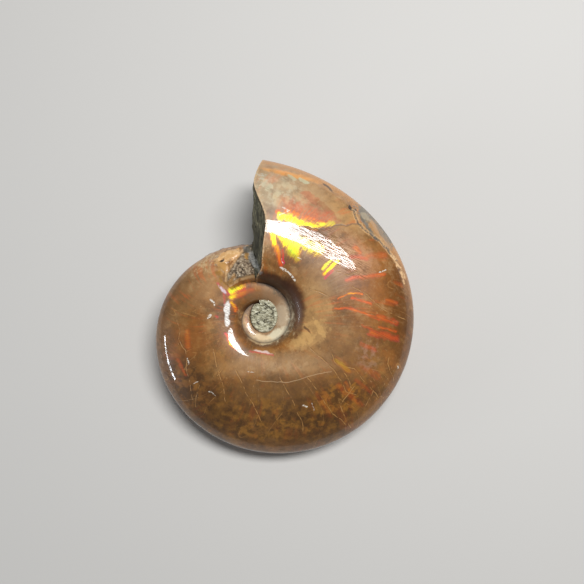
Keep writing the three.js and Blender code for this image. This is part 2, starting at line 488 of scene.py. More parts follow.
@dataclass
class Rest:
    """How the level coil lies: leaned, ground where it is lowest, and set on the frame's solid."""

    lean: float = math.radians(5.4)
    bearing: float = math.radians(-79)
    ground: float = 0.2

    def __post_init__(self) -> None:
        """Works out the turn about the level line square to the bearing."""
        hinge = Vector((0, 0, 1)).cross(Vector((math.cos(self.bearing), math.sin(self.bearing), 0)))
        self.turn = np.array(Matrix.Rotation(self.lean, 3, hinge))
        self.shift = np.zeros(3)

    def settle(self, points: np.ndarray) -> np.ndarray:
        """Leans the points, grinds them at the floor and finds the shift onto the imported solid.

        Args:
            points: Level places, in millimetres.

        Returns:
            Places in the frame, in metres.
        """
        leaned = points @ self.turn.T
        leaned[:, 2] = np.maximum(leaned[:, 2], leaned[:, 2].min() + self.ground)
        low, high = (np.array(corner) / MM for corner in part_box(NODE))
        own_low, own_high = leaned.min(axis=0), leaned.max(axis=0)
        self.shift = (low + high) / 2 - (own_low + own_high) / 2
        self.shift[2] = low[2] - own_low[2]
        return (leaned + self.shift) * MM

    def place(self, point: Sequence[float]) -> Vector:
        """A level place, in the frame."""
        return Vector((self.turn @ np.array(point) + self.shift) * MM)

    def direction(self, vector: Sequence[float]) -> Vector:
        """A level direction, in the frame."""
        return Vector(self.turn @ np.array(vector))


@dataclass(frozen=True)
class Grain:
    """How rough one kind of bare stone is: how far in it is in full, its lift, and its noises' heights."""

    full_at: float
    lift: float
    coarse: float
    middle: float
    fine: float


@dataclass
class Fossil:
    """The ammonite: one closed surface of shell and stone."""

    coil: Coil = field(default_factory=Coil)
    broken: Break = field(default_factory=Break)
    remnant: Remnant = field(default_factory=Remnant)
    stone: UmbilicalStone = field(default_factory=UmbilicalStone)
    columns: int = 360
    rows: int = 172
    umbilical_rows: int = 18
    middle_rings: int = 12
    break_rings: int = 40
    edge_angle: float = math.radians(48)
    lean_forward: float = 8.0  # degrees that growth lines lean at the seam
    lean_share: float = 0.3
    sweep_back: float = 13.0  # degrees that they are swept back at the keel
    sweep_share: float = 0.42
    deepest: float = 3.0  # the broken stone's depth is told up to this
    shell_ripple: float = 0.012
    grains: tuple[Grain, Grain, Grain] = (  # umbilical, broken and remnant stone
        Grain(0.35, 0.10, 0.0, 0.16, 0.09),
        Grain(1.2, 0.0, 0.30, 0.16, 0.06),
        Grain(0.7, 0.0, 0.22, 0.20, 0.08),
    )
    lumps: tuple[Lump, ...] = (
        Lump((-5.4, 9.2), (2.2, 0.85), 24, 0.26),
        Lump((-5.9, 7.7), (0.7, 1.2), 10, 0.18),
        Lump((-6.1, 8.6), (0.36, 0.28), 20, -0.35),
        Lump((-1.9, 9.6), (1.5, 0.55), -59, 0.42),
        Lump((-0.9, 7.9), (0.9, 0.4), -50, 0.32),
        Lump((16.6, 14.6), (4.2, 1.5), -50, -0.09),
        Lump((17.0, 13.4), (2.4, 0.5), -53, 0.06),
    )

    def growth_line(self, age: np.ndarray, way: np.ndarray) -> np.ndarray:
        """The age, in degrees, of the growth line through a place.

        Lines lean forward beside the seam and sweep back towards the keel, both as powers of the way.

        Args:
            age: Ages.
            way: From 0 at the upper seam over 1 at the keel to 2 at the lower seam.

        Returns:
            Ages in degrees.
        """
        out = 1 - np.abs(1 - way)
        forward = self.lean_forward * np.clip(1 - out / self.lean_share, 0, 1) ** 2
        back = self.sweep_back * np.clip((out - self.sweep_share) / (1 - self.sweep_share), 0, 1) ** 1.6
        return np.degrees(age) + forward + back

    def row_places(self, age: np.ndarray) -> np.ndarray:
        """The places of all rows: even up to the next whorl's seam, then evenly long to the keel.

        Args:
            age: Ages, one to a column.

        Returns:
            Places along the section, by column and row.
        """
        section = self.coil.section
        seam = section.place_at_share(self.coil.next_seam_share(age))[:, None]
        inner = seam * np.linspace(0, 1, self.umbilical_rows + 1)
        start = section.length_at_place(seam)
        way = np.linspace(0, 1, self.rows // 2 - self.umbilical_rows + 1)[1:]
        outer = section.place_at_length(start + (section.lengths[-1] - start) * way)
        half = np.concatenate([inner, outer], axis=1)
        return np.concatenate([half, 2 * section.keel - half[:, -2::-1]], axis=1)

    def shell(self, age: np.ndarray, place: np.ndarray) -> tuple[np.ndarray, np.ndarray, np.ndarray]:
        """The whorl's surface, with the columns before the break bunched up and the remnant laid on.

        Args:
            age: Ages, one to a column.
            place: Places along the section, by column and row.

        Returns:
            Level places, growths and stone depths, by column and row.
        """
        coil, section = self.coil, self.coil.section
        ages = np.broadcast_to(age[:, None], place.shape)
        share, width = section.at(place)
        near = smoothstep(ages, self.broken.age - self.broken.spread, self.broken.age)
        at = ages - self.broken.fall(share, width) * near
        radius, height = coil.across(at, place)
        step = 0.01
        ahead, behind = coil.across(at, place + step), coil.across(at, place - step)
        tangent = np.stack([ahead[0] - behind[0], ahead[1] - behind[1]])
        tangent /= np.linalg.norm(tangent, axis=0)

        whorl_height = coil.keel_radius(ages) - coil.seam_radius(ages)
        length = section.length_at_place(section.keel - np.abs(section.keel - place))
        way = length / section.lengths[-1]
        way = np.where(place > section.keel, 2 - way, way)
        next_seam = section.length_at_place(section.place_at_share(coil.next_seam_share(ages)))
        beside = (length - next_seam) * whorl_height
        start = self.broken.age - TURN
        along = (ages - start) / self.remnant.span
        outward = (length - next_seam) / (section.lengths[-1] - next_seam)
        laid = (ages >= start - 1e-9) & (along < 1) & (beside > 0)
        thickness = np.where(laid, self.remnant.thickness(along, beside, outward, place < section.keel), 0)
        points = coil.level(at, radius - tangent[1] * thickness, height + tangent[0] * thickness)

        covered = (ages < start) | laid
        gap = np.minimum(length * whorl_height, np.where(covered, np.abs(beside), FAR))
        growth = np.stack([self.growth_line(at, way), way, gap], axis=-1)
        to_break = (ages - self.broken.age) * radius
        top = np.minimum(beside - self.remnant.bare_from, (1 - along) * self.remnant.span * radius)
        top = np.where(place < section.keel, np.minimum(top, self.remnant.bare(points)), top)
        depths = np.stack([np.full_like(gap, -FAR), to_break, np.where(laid, top, -FAR)], axis=-1)
        return points, growth, depths

    def last_whorl(self, surface: Surface) -> np.ndarray:
        """Adds the last whorl, a grid of columns along it and rows across it.

        Args:
            surface: Gets the points and triangles.

        Returns:
            Point numbers, by column and row.
        """
        age = np.linspace(self.broken.age - TURN, self.broken.age, self.columns + 1)
        points, growth, depths = self.shell(age, self.row_places(age))
        numbers = surface.add(points, depths)
        numbers[-1, 0] = numbers[0, self.umbilical_rows]
        numbers[-1, -1] = numbers[0, self.rows - self.umbilical_rows]
        surface.grid(numbers, growth)
        return numbers

    def umbilicus(self, surface: Surface, whorl: np.ndarray, upper: bool) -> None:
        """Adds what shows of the turn before, and the stone that fills the middle in shrinking rings.

        Args:
            surface: Gets the points and triangles.
            whorl: The last whorl's point numbers.
            upper: True for the upper side.
        """
        side = 1.0 if upper else -1.0
        rows = whorl if upper else whorl[:, ::-1]
        inner_rows = self.umbilical_rows
        age = np.linspace(self.broken.age - 2 * TURN, self.broken.age - TURN, self.columns + 1)
        points, growth, depths = self.shell(age, self.row_places(age)[:, : inner_rows + 1])
        inwards = self.stone.inwards(points)
        points[..., 2] = np.where(inwards > 0, self.stone.level(points), points[..., 2]) * side
        depths[..., 0] = inwards
        numbers = np.empty(points.shape[:2], int)
        numbers[:-1, :-1] = surface.add(points[:-1, :-1], depths[:-1, :-1])
        numbers[:, -1] = rows[:, 0]
        numbers[-1] = rows[0, : inner_rows + 1]
        surface.grid(numbers, growth, turned=not upper)

        rim = np.concatenate([numbers[:, 0], numbers[0, inner_rows - 1 : 0 : -1]])
        edge = np.concatenate([points[:, 0], points[0, inner_rows - 1 : 0 : -1]])
        shrink = np.linspace(1, 0, self.middle_rings + 1)[1:-1, None, None]
        middle = np.array([*self.stone.centre, 0.0])
        rings = middle + (edge - middle) * shrink
        rings[..., 2] = self.stone.level(rings) * side
        depth = np.stack([self.stone.inwards(rings), *[np.full(rings.shape[:2], -FAR)] * 2], axis=-1)
        ring_numbers = surface.add(rings, depth)
        middle[2] = self.stone.level(middle) * side
        centre = surface.add(middle[None], np.array([[min(self.stone.radii), -FAR, -FAR]]))
        every = np.concatenate([rim[None], ring_numbers, np.broadcast_to(centre, (1, len(rim)))])
        every = np.concatenate([every, every[:, :1]], axis=1)
        surface.grid(every, np.zeros((*every.shape, 3)), turned=upper)

    def aperture(self, surface: Surface, whorl: np.ndarray) -> None:
        """Adds the break: rings from the whorl's edge, stitched to the outline of the whorl before.

        Args:
            surface: Gets the points and triangles.
            whorl: The last whorl's point numbers.
        """
        edge = whorl[-1]
        foot = whorl[0, self.umbilical_rows : self.rows - self.umbilical_rows + 1]
        starts, foot_points = (surface.so_far()[line] for line in (edge, foot))
        steps = np.linalg.norm(np.diff(foot_points, axis=0), axis=1)
        foot_ways = np.concatenate([[0.0], np.cumsum(steps)]) / steps.sum()
        edge_ways = np.linspace(0, 1, len(edge))
        ends = np.stack([np.interp(edge_ways, foot_ways, axis) for axis in foot_points.T], axis=1)
        inward = np.linspace(0, 1, self.break_rings + 1)[1:-1, None, None]
        rings = starts + (ends - starts) * inward
        depth = inward[..., 0] * np.linalg.norm(ends - starts, axis=1)
        outside = np.full_like(depth, -FAR)
        depths = np.stack([outside, np.minimum(depth, self.deepest), outside], axis=-1)
        numbers = surface.add(rings[:, 1:-1], depths[:, 1:-1])
        sides = [np.full((len(numbers), 1), edge[k]) for k in (0, -1)]
        numbers = np.concatenate([edge[None], np.concatenate([sides[0], numbers, sides[1]], axis=1)])
        surface.grid(numbers, np.zeros((*numbers.shape, 3)), turned=True)
        surface.stitch(numbers[-1], foot, (edge_ways, foot_ways))

    def relief(self, surface: Surface) -> None:
        """Roughens the stone and leaves the shell nearly smooth, by layered noise along the normals.

        Args:
            surface: Its points are moved.
        """
        points = surface.points
        middle = layered_noise(points, 0.9, 11)
        fine = layered_noise(points, 0.32, 21)
        coarse = layered_noise(points, 2.4, 31)
        moved = self.shell_ripple * layered_noise(points, 2.2, 41)
        for depth, grain in zip(surface.stone.T, self.grains):
            rough = grain.lift + grain.coarse * coarse + grain.middle * middle + grain.fine * fine
            moved += smoothstep(depth, 0.0, grain.full_at) * rough
        for lump in self.lumps:
            moved += lump.rise(points, middle)
        surface.points = points + surface.normals() * moved[:, None]

    def build(self, rest: Rest) -> bpy.types.Object:
        """Makes the fossil's mesh and sets it where it rests.

        Args:
            rest: How the fossil lies.

        Returns:
            The fossil's object.
        """
        surface = Surface()
        whorl = self.last_whorl(surface)
        for upper in (True, False):
            self.umbilicus(surface, whorl, upper)
        self.aperture(surface, whorl)
        surface.gather()
        self.relief(surface)

        mesh = bpy.data.meshes.new("ammonite_shell")
        mesh.from_pydata(rest.settle(surface.points), [], surface.faces)
        mesh.shade_smooth()
        mesh.set_sharp_from_angle(angle=self.edge_angle)
        self.attribute(mesh, "level", "POINT", surface.points)
        self.attribute(mesh, "stone", "POINT", surface.stone)
        self.attribute(mesh, "growth", "CORNER", surface.growth)
        shell = bpy.data.objects.new("ammonite_shell", mesh)
        bpy.context.scene.collection.objects.link(shell)
        return shell

    def attribute(self, mesh: bpy.types.Mesh, name: str, domain: str, values: np.ndarray) -> None:
        """Puts a vector for each point or corner on the mesh, for the materials to read.

        Args:
            mesh: The mesh.
            name: The attribute's name.
            domain: Blender's name for what carries it.
            values: One vector for each.
        """
        made = mesh.attributes.new(name, "FLOAT_VECTOR", domain)
        made.data.foreach_set("vector", values.astype(np.float32).ravel())


# --- shader maths ----------------------------------------------------------------------------------------

Colour = tuple[float, float, float]
Operand = Union[float, tuple[float, ...], "Value"]
Stops = tuple[tuple[float, Colour], ...]
Line = tuple[tuple[float, float], ...]
WHITE: Colour = (1.0, 1.0, 1.0)


def seen(red: int, green: int, blue: int) -> Colour:
    """A screen colour as light: the sRGB curve's offset power of 2.4 undone.

    Args:
        red: From 0 to 255.
        green: From 0 to 255.
        blue: From 0 to 255.

    Returns:
        The same colour in shares of full light.
    """
    shares = np.array([red, green, blue]) / 255
    light = np.where(shares <= 0.04045, shares / 12.92, ((shares + 0.055) / 1.055) ** 2.4)
    return tuple(float(part) for part in light)


@dataclass(frozen=True)
class Value:
    """One socket of a material. Its sums make Math nodes, or Vector Math nodes where vectors take part."""

    shader: "Shader"
    socket: bpy.types.NodeSocket

    def __add__(self, other: Operand) -> "Value":
        """This and another, added."""
        return self.shader.maths("ADD", self, other)

    def __radd__(self, other: Operand) -> "Value":
        """Another and this, added."""
        return self.shader.maths("ADD", other, self)

    def __sub__(self, other: Operand) -> "Value":
        """This less another."""
        return self.shader.maths("SUBTRACT", self, other)

    def __rsub__(self, other: Operand) -> "Value":
        """Another less this."""
        return self.shader.maths("SUBTRACT", other, self)

    def __mul__(self, other: Operand) -> "Value":
        """This times another."""
        return self.shader.maths("MULTIPLY", self, other)

    def __rmul__(self, other: Operand) -> "Value":
        """Another times this."""
        return self.shader.maths("MULTIPLY", self, other)

    def __truediv__(self, other: Operand) -> "Value":
        """This over another."""
        return self.shader.maths("DIVIDE", self, other)

    def __abs__(self) -> "Value":
        """This without its sign."""
        return self.shader.maths("ABSOLUTE", self)

    def most(self, other: Operand) -> "Value":
        """The greater of this and another."""
        return self.shader.maths("MAXIMUM", self, other)

    def least(self, other: Operand) -> "Value":
        """The lesser of this and another."""
        return self.shader.maths("MINIMUM", self, other)

    def dot(self, other: Operand) -> "Value":
        """The dot product of two vectors."""
        return self.shader.maths("DOT_PRODUCT", self, other)

    def root(self) -> "Value":
        """The square root."""
        return self.shader.maths("SQRT", self)

    def length(self) -> "Value":
        """A vector's length."""
        return self.shader.maths("LENGTH", self)

    def rise(self, low: Operand, high: Operand) -> "Value":
        """A smooth step from 0 to 1.

        Args:
            low: Where the step is 0.
            high: Where it is 1, above or below low.

        Returns:
            The step, held at 0 and 1 past its ends.
        """
        values = {"Value": self, "From Min": low, "From Max": high}
        settings = {"interpolation_type": "SMOOTHSTEP", "clamp": False}
        made = self.shader.node("ShaderNodeMapRange", settings, values)
        return Value(self.shader, made.outputs["Result"])


@dataclass(frozen=True)
class Place:
    """Where a point is, as three numbers that stay apart until a texture needs them."""

    x: Operand
    y: Operand
    z: Operand

    def moved(self, x: float = 0.0, y: float = 0.0, z: float = 0.0) -> "Place":
        """This place moved by constants, which gives noise on it another pattern."""
        return Place(self.x + x if x else self.x, self.y + y if y else self.y, self.z + z if z else self.z)

    def scaled(self, x: float, y: float, z: float) -> "Place":
        """This place with each number times a constant."""
        return Place(self.x * x, self.y * y, self.z * z if z != 1.0 else self.z)


def is_vector(operand: Operand) -> bool:
    """True for a tuple, a vector socket or a colour socket."""
    if isinstance(operand, Value):
        return operand.socket.type in ("VECTOR", "RGBA")
    return isinstance(operand, tuple)


class Shader:
    """A tree of nodes.

    Only sockets of one kind are linked, places are kept as numbers and nodes are made in the order in which
    they run. The renderer then needs to hold few results at a time, and it can hold only so many.
    """

    MIX_SOCKETS = {"FLOAT": (0, 2, 3, 0), "RGBA": (0, 6, 7, 2)}
    SINGLE = ("DOT_PRODUCT", "LENGTH")

    def __init__(self, tree: bpy.types.NodeTree) -> None:
        """Takes an empty tree."""
        self.tree = tree
        self.made: dict[tuple, bpy.types.Node] = {}

    def node(
        self,
        kind: str,
        settings: Mapping[str, Any] | None = None,
        values: Mapping[Union[int, str], Any] | None = None,
    ) -> bpy.types.Node:
        """Makes any node, or finds the one that was made before with the same settings and values.

        Args:
            kind: The node's type.
            settings: Its own settings, and "stops" for a ramp's places and colours.
            values: Links or numbers for its sockets, by name or number.

        Returns:
            The node.
        """
        asked = (kind, tuple((settings or {}).items()), tuple((values or {}).items()))
        if asked in self.made:
            return self.made[asked]
        made = self.tree.nodes.new(kind)
        self.made[asked] = made
        for name, setting in (settings or {}).items():
            if name == "stops":
                self.set_stops(made.color_ramp, setting)
            else:
                setattr(made, name, setting)
        for name, value in (values or {}).items():
            socket = made.inputs[name]
            if isinstance(value, Value):
                self.tree.links.new(value.socket, socket)
            elif socket.type == "RGBA":
                socket.default_value = (*value, 1.0)
            else:
                socket.default_value = value
        return made

    def set_stops(self, ramp: bpy.types.ColorRamp, stops: Stops) -> None:
        """Gives a ramp its stops, the first and last in place of its own two."""
        while len(ramp.elements) < len(stops):
            ramp.elements.new(0.5)
        for element, (place, colour) in zip(ramp.elements, stops):
            element.position = place
            element.color = (*colour, 1.0)

    def maths(self, operation: str, *operands: Operand) -> Value:
        """Adds a Math node, or a Vector Math node where an operand is a vector.

        Args:
            operation: Blender's name for the sum.
            operands: Numbers, vectors or values.

        Returns:
            The result.
        """
        vectors = [operand for operand in operands if is_vector(operand)]
        values: dict[Union[int, str], Operand] = dict(enumerate(operands))
        if operation == "MULTIPLY" and len(vectors) == 1:
            number = next(operand for operand in operands if not is_vector(operand))
            operation, values = "SCALE", {0: vectors[0], "Scale": number}
        kind = "ShaderNodeVectorMath" if vectors else "ShaderNodeMath"
        made = self.node(kind, {"operation": operation}, values)
        return Value(self, made.outputs["Vector" if vectors and operation not in self.SINGLE else "Value"])

    def blend(self, mask: Operand, below: Operand, above: Operand) -> Operand:
        """Mixes two numbers or two colours.

        Args:
            mask: 0 shows what is below and 1 what is above.
            below: A number or colour.
            above: Another of the same.

        Returns:
            The mixture.
        """
        if below == above:
            return below
        kind = "RGBA" if is_vector(below) else "FLOAT"
        factor, first, second, result = self.MIX_SOCKETS[kind]
        made = self.node("ShaderNodeMix", {"data_type": kind}, {factor: mask, first: below, second: above})
        return Value(self, made.outputs[result])

    def shade(self, colour: Operand, share: Value) -> Value:
        """A colour made darker or lighter, to a share of its own light."""
        made = self.node("ShaderNodeHueSaturation", values={"Value": share, "Color": colour})
        return Value(self, made.outputs["Color"])

    def ramp(self, place: Value, stops: Stops) -> Value:
        """The colour at a place on a ramp."""
        return Value(self, self.node("ShaderNodeValToRGB", {"stops": stops}, {"Fac": place}).outputs["Color"])

    def attribute(self, name: str) -> Place:
        """Reads three numbers that the mesh carries.

        Args:
            name: The attribute's name.

        Returns:
            The numbers.
        """
        carried = self.node("ShaderNodeAttribute", {"attribute_name": name}).outputs["Color"]
        apart = self.node("ShaderNodeSeparateXYZ", values={"Vector": Value(self, carried)})
        return Place(*(Value(self, apart.outputs[axis]) for axis in "XYZ"))

    def join(self, place: Place) -> Value:
        """A place's numbers as one vector, for a texture."""
        values = {"X": place.x, "Y": place.y, "Z": place.z}
        return Value(self, self.node("ShaderNodeCombineXYZ", values=values).outputs["Vector"])

    def noise(
        self, at: Place, size: Union[float, tuple[float, ...]], detail: float = 2.0, rough: float = 0.5
    ) -> Value:
        """Noise from 0 to 1, mostly near 0.5.

        Args:
            at: Places.
            size: The size of its patches, or three sizes along the axes.
            detail: How many finer layers it has.
            rough: How strong the finer layers are.

        Returns:
            The noise.
        """
        if isinstance(size, tuple):
            at, size = at.scaled(*(1 / part for part in size)), 1.0
        values = {"Vector": self.join(at), "Scale": 1 / size, "Detail": detail, "Roughness": rough}
        return Value(self, self.node("ShaderNodeTexNoise", values=values).outputs["Fac"])

    def drift(self, at: Place, size: float, reach: float) -> Place:
        """Places pushed about in x and y by two noises.

        Args:
            at: Places.
            size: The size of the noises' patches.
            reach: How far places are pushed each way, at most.

        Returns:
            The pushed places.
        """
        east = (self.noise(at, size) - 0.5) * (2 * reach)
        north = (self.noise(Place(at.y, at.x, at.z), size) - 0.5) * (2 * reach)
        return Place(at.x + east, at.y + north, at.z)


class Recipe(Shader):
    """Shader maths that many marks share, made once as a node group and then used for each mark."""

    KINDS = {"VALUE": "NodeSocketFloat", "VECTOR": "NodeSocketVector", "RGBA": "NodeSocketColor"}

    def __init__(self, name: str, **kinds: str) -> None:
        """Makes a group with inputs.

        Args:
            name: The group's name.
            kinds: The kind of each input: VALUE, VECTOR or RGBA.
        """
        super().__init__(bpy.data.node_groups.new(name, "ShaderNodeTree"))
        for socket, kind in kinds.items():
            self.tree.interface.new_socket(socket, in_out="INPUT", socket_type=self.KINDS[kind])
        source = self.node("NodeGroupInput")
        self.given = {socket: Value(self, source.outputs[socket]) for socket in kinds}

    def gives(self, **results: Value) -> None:
        """Sets the group's outputs."""
        for name, result in results.items():
            self.tree.interface.new_socket(name, in_out="OUTPUT", socket_type=self.KINDS[result.socket.type])
        self.node("NodeGroupOutput", values=results)

    def use(self, shader: Shader, **values: Operand) -> list[Value]:
        """Uses the group in another tree.

        Args:
            shader: The other tree.
            values: The group's inputs.

        Returns:
            Its outputs, in their order.
        """
        made = shader.node("ShaderNodeGroup", {"node_tree": self.tree}, values)
        return [Value(shader, socket) for socket in made.outputs]


class VectorRecipe(Recipe):
    """Two numbers as a vector on the plane z = 0, for the recipes that sum vectors."""

    def __init__(self) -> None:
        """Makes the group."""
        super().__init__("vector", x="VALUE", y="VALUE")
        self.gives(vector=self.join(Place(self.given["x"], self.given["y"], 0.0)))

    def of(self, shader: Shader, place: Place) -> Value:
        """A place's x and y as a vector."""
        return self.use(shader, x=place.x, y=place.y)[0]


class StretchRecipe(Recipe):
    """How far places are from a straight stretch, and how far along it the nearest point is.

    The place's offset from the start, dotted with the stretch over its squared length and clamped, is the
    way along. The stretch times that way, taken from the offset, leaves the distance.
    """

    def __init__(self) -> None:
        """Makes the group."""
        super().__init__("stretch", at="VECTOR", start="VECTOR", run="VECTOR", scaled="VECTOR")
        offset = self.given["at"] - self.given["start"]
        along = offset.dot(self.given["scaled"]).most(0.0).least(1.0)
        self.gives(away=(offset - self.given["run"] * along).length(), along=along)

    def shape(self, start: Sequence[float], end: Sequence[float]) -> dict[str, tuple[float, ...]]:
        """The group's inputs for one stretch on the plane z = 0.

        Args:
            start: The stretch's x and y at one end.
            end: The stretch's x and y at the other end.

        Returns:
            The inputs by name.
        """
        run = np.subtract(end, start)
        scaled = run / (run @ run)
        return {"start": (*start, 0.0), "run": (*run.tolist(), 0.0), "scaled": (*scaled.tolist(), 0.0)}

    def measure(self, shader: Shader, at: Value, start: Sequence[float], end: Sequence[float]) -> list[Value]:
        """Measures places against one stretch.

        Args:
            shader: The tree that measures.
            at: The places.
            start: The stretch's x and y at one end.
            end: The stretch's x and y at the other end.

        Returns:
            Distances, and ways from 0 at the start to 1 at the end.
        """
        return self.use(shader, at=at, **self.shape(start, end))

    def from_lines(self, shader: Shader, at: Value, lines: Sequence[Line]) -> Value:
        """How far places are from the nearest of some lines.

        Args:
            shader: The tree that measures.
            at: The places.
            lines: Each line's corners, with straight stretches between them.

        Returns:
            Distances.
        """
        distance: Operand = 99.0
        for line in lines:
            for start, end in zip(line, line[1:]):
                distance = self.measure(shader, at, start, end)[0].least(distance)
        return distance


# --- the finish ------------------------------------------------------------------------------------------


class OvalRecipe(Recipe):
    """A ragged oval patch laid on a colour.

    The offset from its centre is dotted with each of its axes over that axis's radius. The length of the two
    results, the reach, is then even all along its edge, until the fray is added.
    """

    def __init__(self) -> None:
        """Makes the group."""
        vectors = dict.fromkeys(("at", "centre", "long", "short"), "VECTOR")
        numbers = dict.fromkeys(("fray", "gone", "full", "strength", "upper"), "VALUE")
        super().__init__("oval", **vectors, **numbers, below="RGBA", above="RGBA")
        given = self.given
        offset = given["at"] - given["centre"]
        east, north = offset.dot(given["long"]), offset.dot(given["short"])
        reach = (east * east + north * north).root()
        mask = (reach + given["fray"]).rise(given["gone"], given["full"]) * given["strength"] * given["upper"]
        self.gives(colour=self.blend(mask, given["below"], given["above"]), mask=mask)


class FlashRecipe(Recipe):
    """A flash along a stretch, added to a mask and a hue that other flashes made.

    Its hue runs from one end to the other and turns redder towards its sides.
    """

    def __init__(self, stretch: StretchRecipe) -> None:
        """Makes the group.

        Args:
            stretch: Measures the distance from the stretch.
        """
        vectors = dict.fromkeys(("at", "start", "run", "scaled"), "VECTOR")
        names = ("close", "fray", "threads", "first", "change", "strength", "upper", "mask", "hue")
        super().__init__("flash", **vectors, **dict.fromkeys(names, "VALUE"))
        given = self.given
        away, along = stretch.use(self, **{name: given[name] for name in vectors})
        body = (away * given["close"] + given["fray"]).rise(1.35, 0.15)
        flash = body * given["strength"] * given["upper"] * given["threads"]
        hue = given["first"] + given["change"] * along + (body - 1) * 0.22
        self.gives(mask=given["mask"].most(flash), hue=self.blend(body.rise(0.0, 0.35), given["hue"], hue))


class Canvas:
    """What every finish works with: the nodes, where a point lies on the fossil, shared noises and recipes.

    `flat` is the level place seen from above, `wandering` the same pushed about for natural edges, and
    `drifted` that as a vector. `grown` has millimetres along the whorl, across it and through it, so that
    noise on it can follow growth lines.
    """

    MM_PER_DEGREE = 0.28
    MM_ACROSS = 18.0

    def __init__(self, shader: Shader) -> None:
        """Reads the attributes.

        Args:
            shader: The material's nodes.
        """
        self.shader = shader
        self.vector = VectorRecipe()
        self.stretch = StretchRecipe()
        self.oval = OvalRecipe()
        self.flash = FlashRecipe(self.stretch)
        self.level = shader.attribute("level")
        self.upper = self.level.z.rise(-0.6, 0.6)
        self.flat = replace(self.level, z=0.0)
        self.wandering = shader.drift(self.flat, 1.6, 0.35)
        self.drifted = self.vector.of(shader, self.wandering)
        growth, stone = shader.attribute("growth"), shader.attribute("stone")
        self.line, self.way, self.gap = growth.x, growth.y, growth.z
        self.plug, self.broken, self.remnant = stone.x, stone.y, stone.z
        self.outward = 1 - abs(1 - self.way)
        self.grown = Place(self.line * self.MM_PER_DEGREE, self.way * self.MM_ACROSS, self.upper)
        self.strands = shader.noise(self.grown, (0.45, 6.0, 1.0), 3.0, 0.6)
        self.ragged = shader.noise(self.level, 0.9, 5.0, 0.65)
        self.fray = self.ragged - 0.5
        self.frayed = self.fray * 0.3
        self.patchy = self.ragged.rise(0.40, 0.56)
        self.grain = shader.noise(self.level, 0.22, 3.0, 0.65)
        self.grit = self.grain * 0.5
        self.warped = shader.drift(self.level, 0.5, 0.25)


@dataclass(frozen=True)
class Finish:
    """How the surface looks so far. Relief is in millimetres, and polish is the share of clear gloss."""

    shader: Shader
    colour: Operand
    rough: Operand
    metal: Operand
    polish: Operand
    relief: Operand

    def under(self, mask: Operand, **parts: Operand) -> "Finish":
        """This finish, covered by other parts where a mask is 1."""
        mixed = {name: self.shader.blend(mask, getattr(self, name), part) for name, part in parts.items()}
        return replace(self, **mixed)

    def shaded(self, share: Value) -> "Finish":
        """This finish with its colour made darker or lighter, to a share of its light."""
        return replace(self, colour=self.shader.shade(self.colour, share))

    def raised(self, height: Value) -> "Finish":
        """This finish with its relief raised by a height."""
        return replace(self, relief=height + self.relief)


@dataclass(frozen=True)
class Blot:
    """A ragged oval patch of one colour on the upper side, in level millimetres and degrees.

    Soft is how far the edge fades, as a share of the radii. Ragged makes the edge more uneven as it grows.
    Mottle is the size of the gaps that break the patch up, with 0 for none. Dull is the share of the gloss
    that the patch takes away.
    """

    centre: tuple[float, float]
    radii: tuple[float, float]
    turn: float
    colour: Colour
    strength: float = 1.0
    soft: float = 0.6
    ragged: float = 1.0
    mottle: float = 0.0
    dull: float = 0.0

    def spread(self, canvas: Canvas, below: Operand) -> list[Value]:
        """Lays the patch on a colour, full inside, fading over its edge and broken up by its mottle.

        Args:
            canvas: What the finishes work with.
            below: The colour below.

        Returns:
            The colour with the patch, and the patch's mask.
        """
        strength: Operand = self.strength
        if self.mottle:
            moved = canvas.level.moved(7 * self.centre[0], z=5 * self.centre[1])
            strength = canvas.shader.noise(moved, self.mottle, 4.0, 0.6).rise(0.45, 0.60) * self.strength
        east, north = math.cos(math.radians(self.turn)), math.sin(math.radians(self.turn))
        length, width = (radius * self.ragged for radius in self.radii)
        return canvas.oval.use(
            canvas.shader,
            at=canvas.drifted,
            centre=(*self.centre, 0.0),
            long=(east / length, north / length, 0.0),
            short=(-north / width, east / width, 0.0),
            fray=canvas.fray,
            gone=(1 + self.soft) / self.ragged,
            full=(1 - self.soft) / self.ragged,
            strength=strength,
            upper=canvas.upper,
            below=below,
            above=self.colour,
        )

    def lay(self, canvas: Canvas, finish: Finish) -> Finish:
        """Lays the patch on the finish, and takes the metal and the patch's dull share of the gloss away.

        Args:
            canvas: What finishes share.
            finish: What is below.

        Returns:
            The covered finish.
        """
        colour, mask = self.spread(canvas, finish.colour)
        finish = replace(finish, colour=colour, metal=canvas.shader.blend(mask, finish.metal, 0.0))
        return finish.under(mask * self.dull, polish=0.0) if self.dull else finish


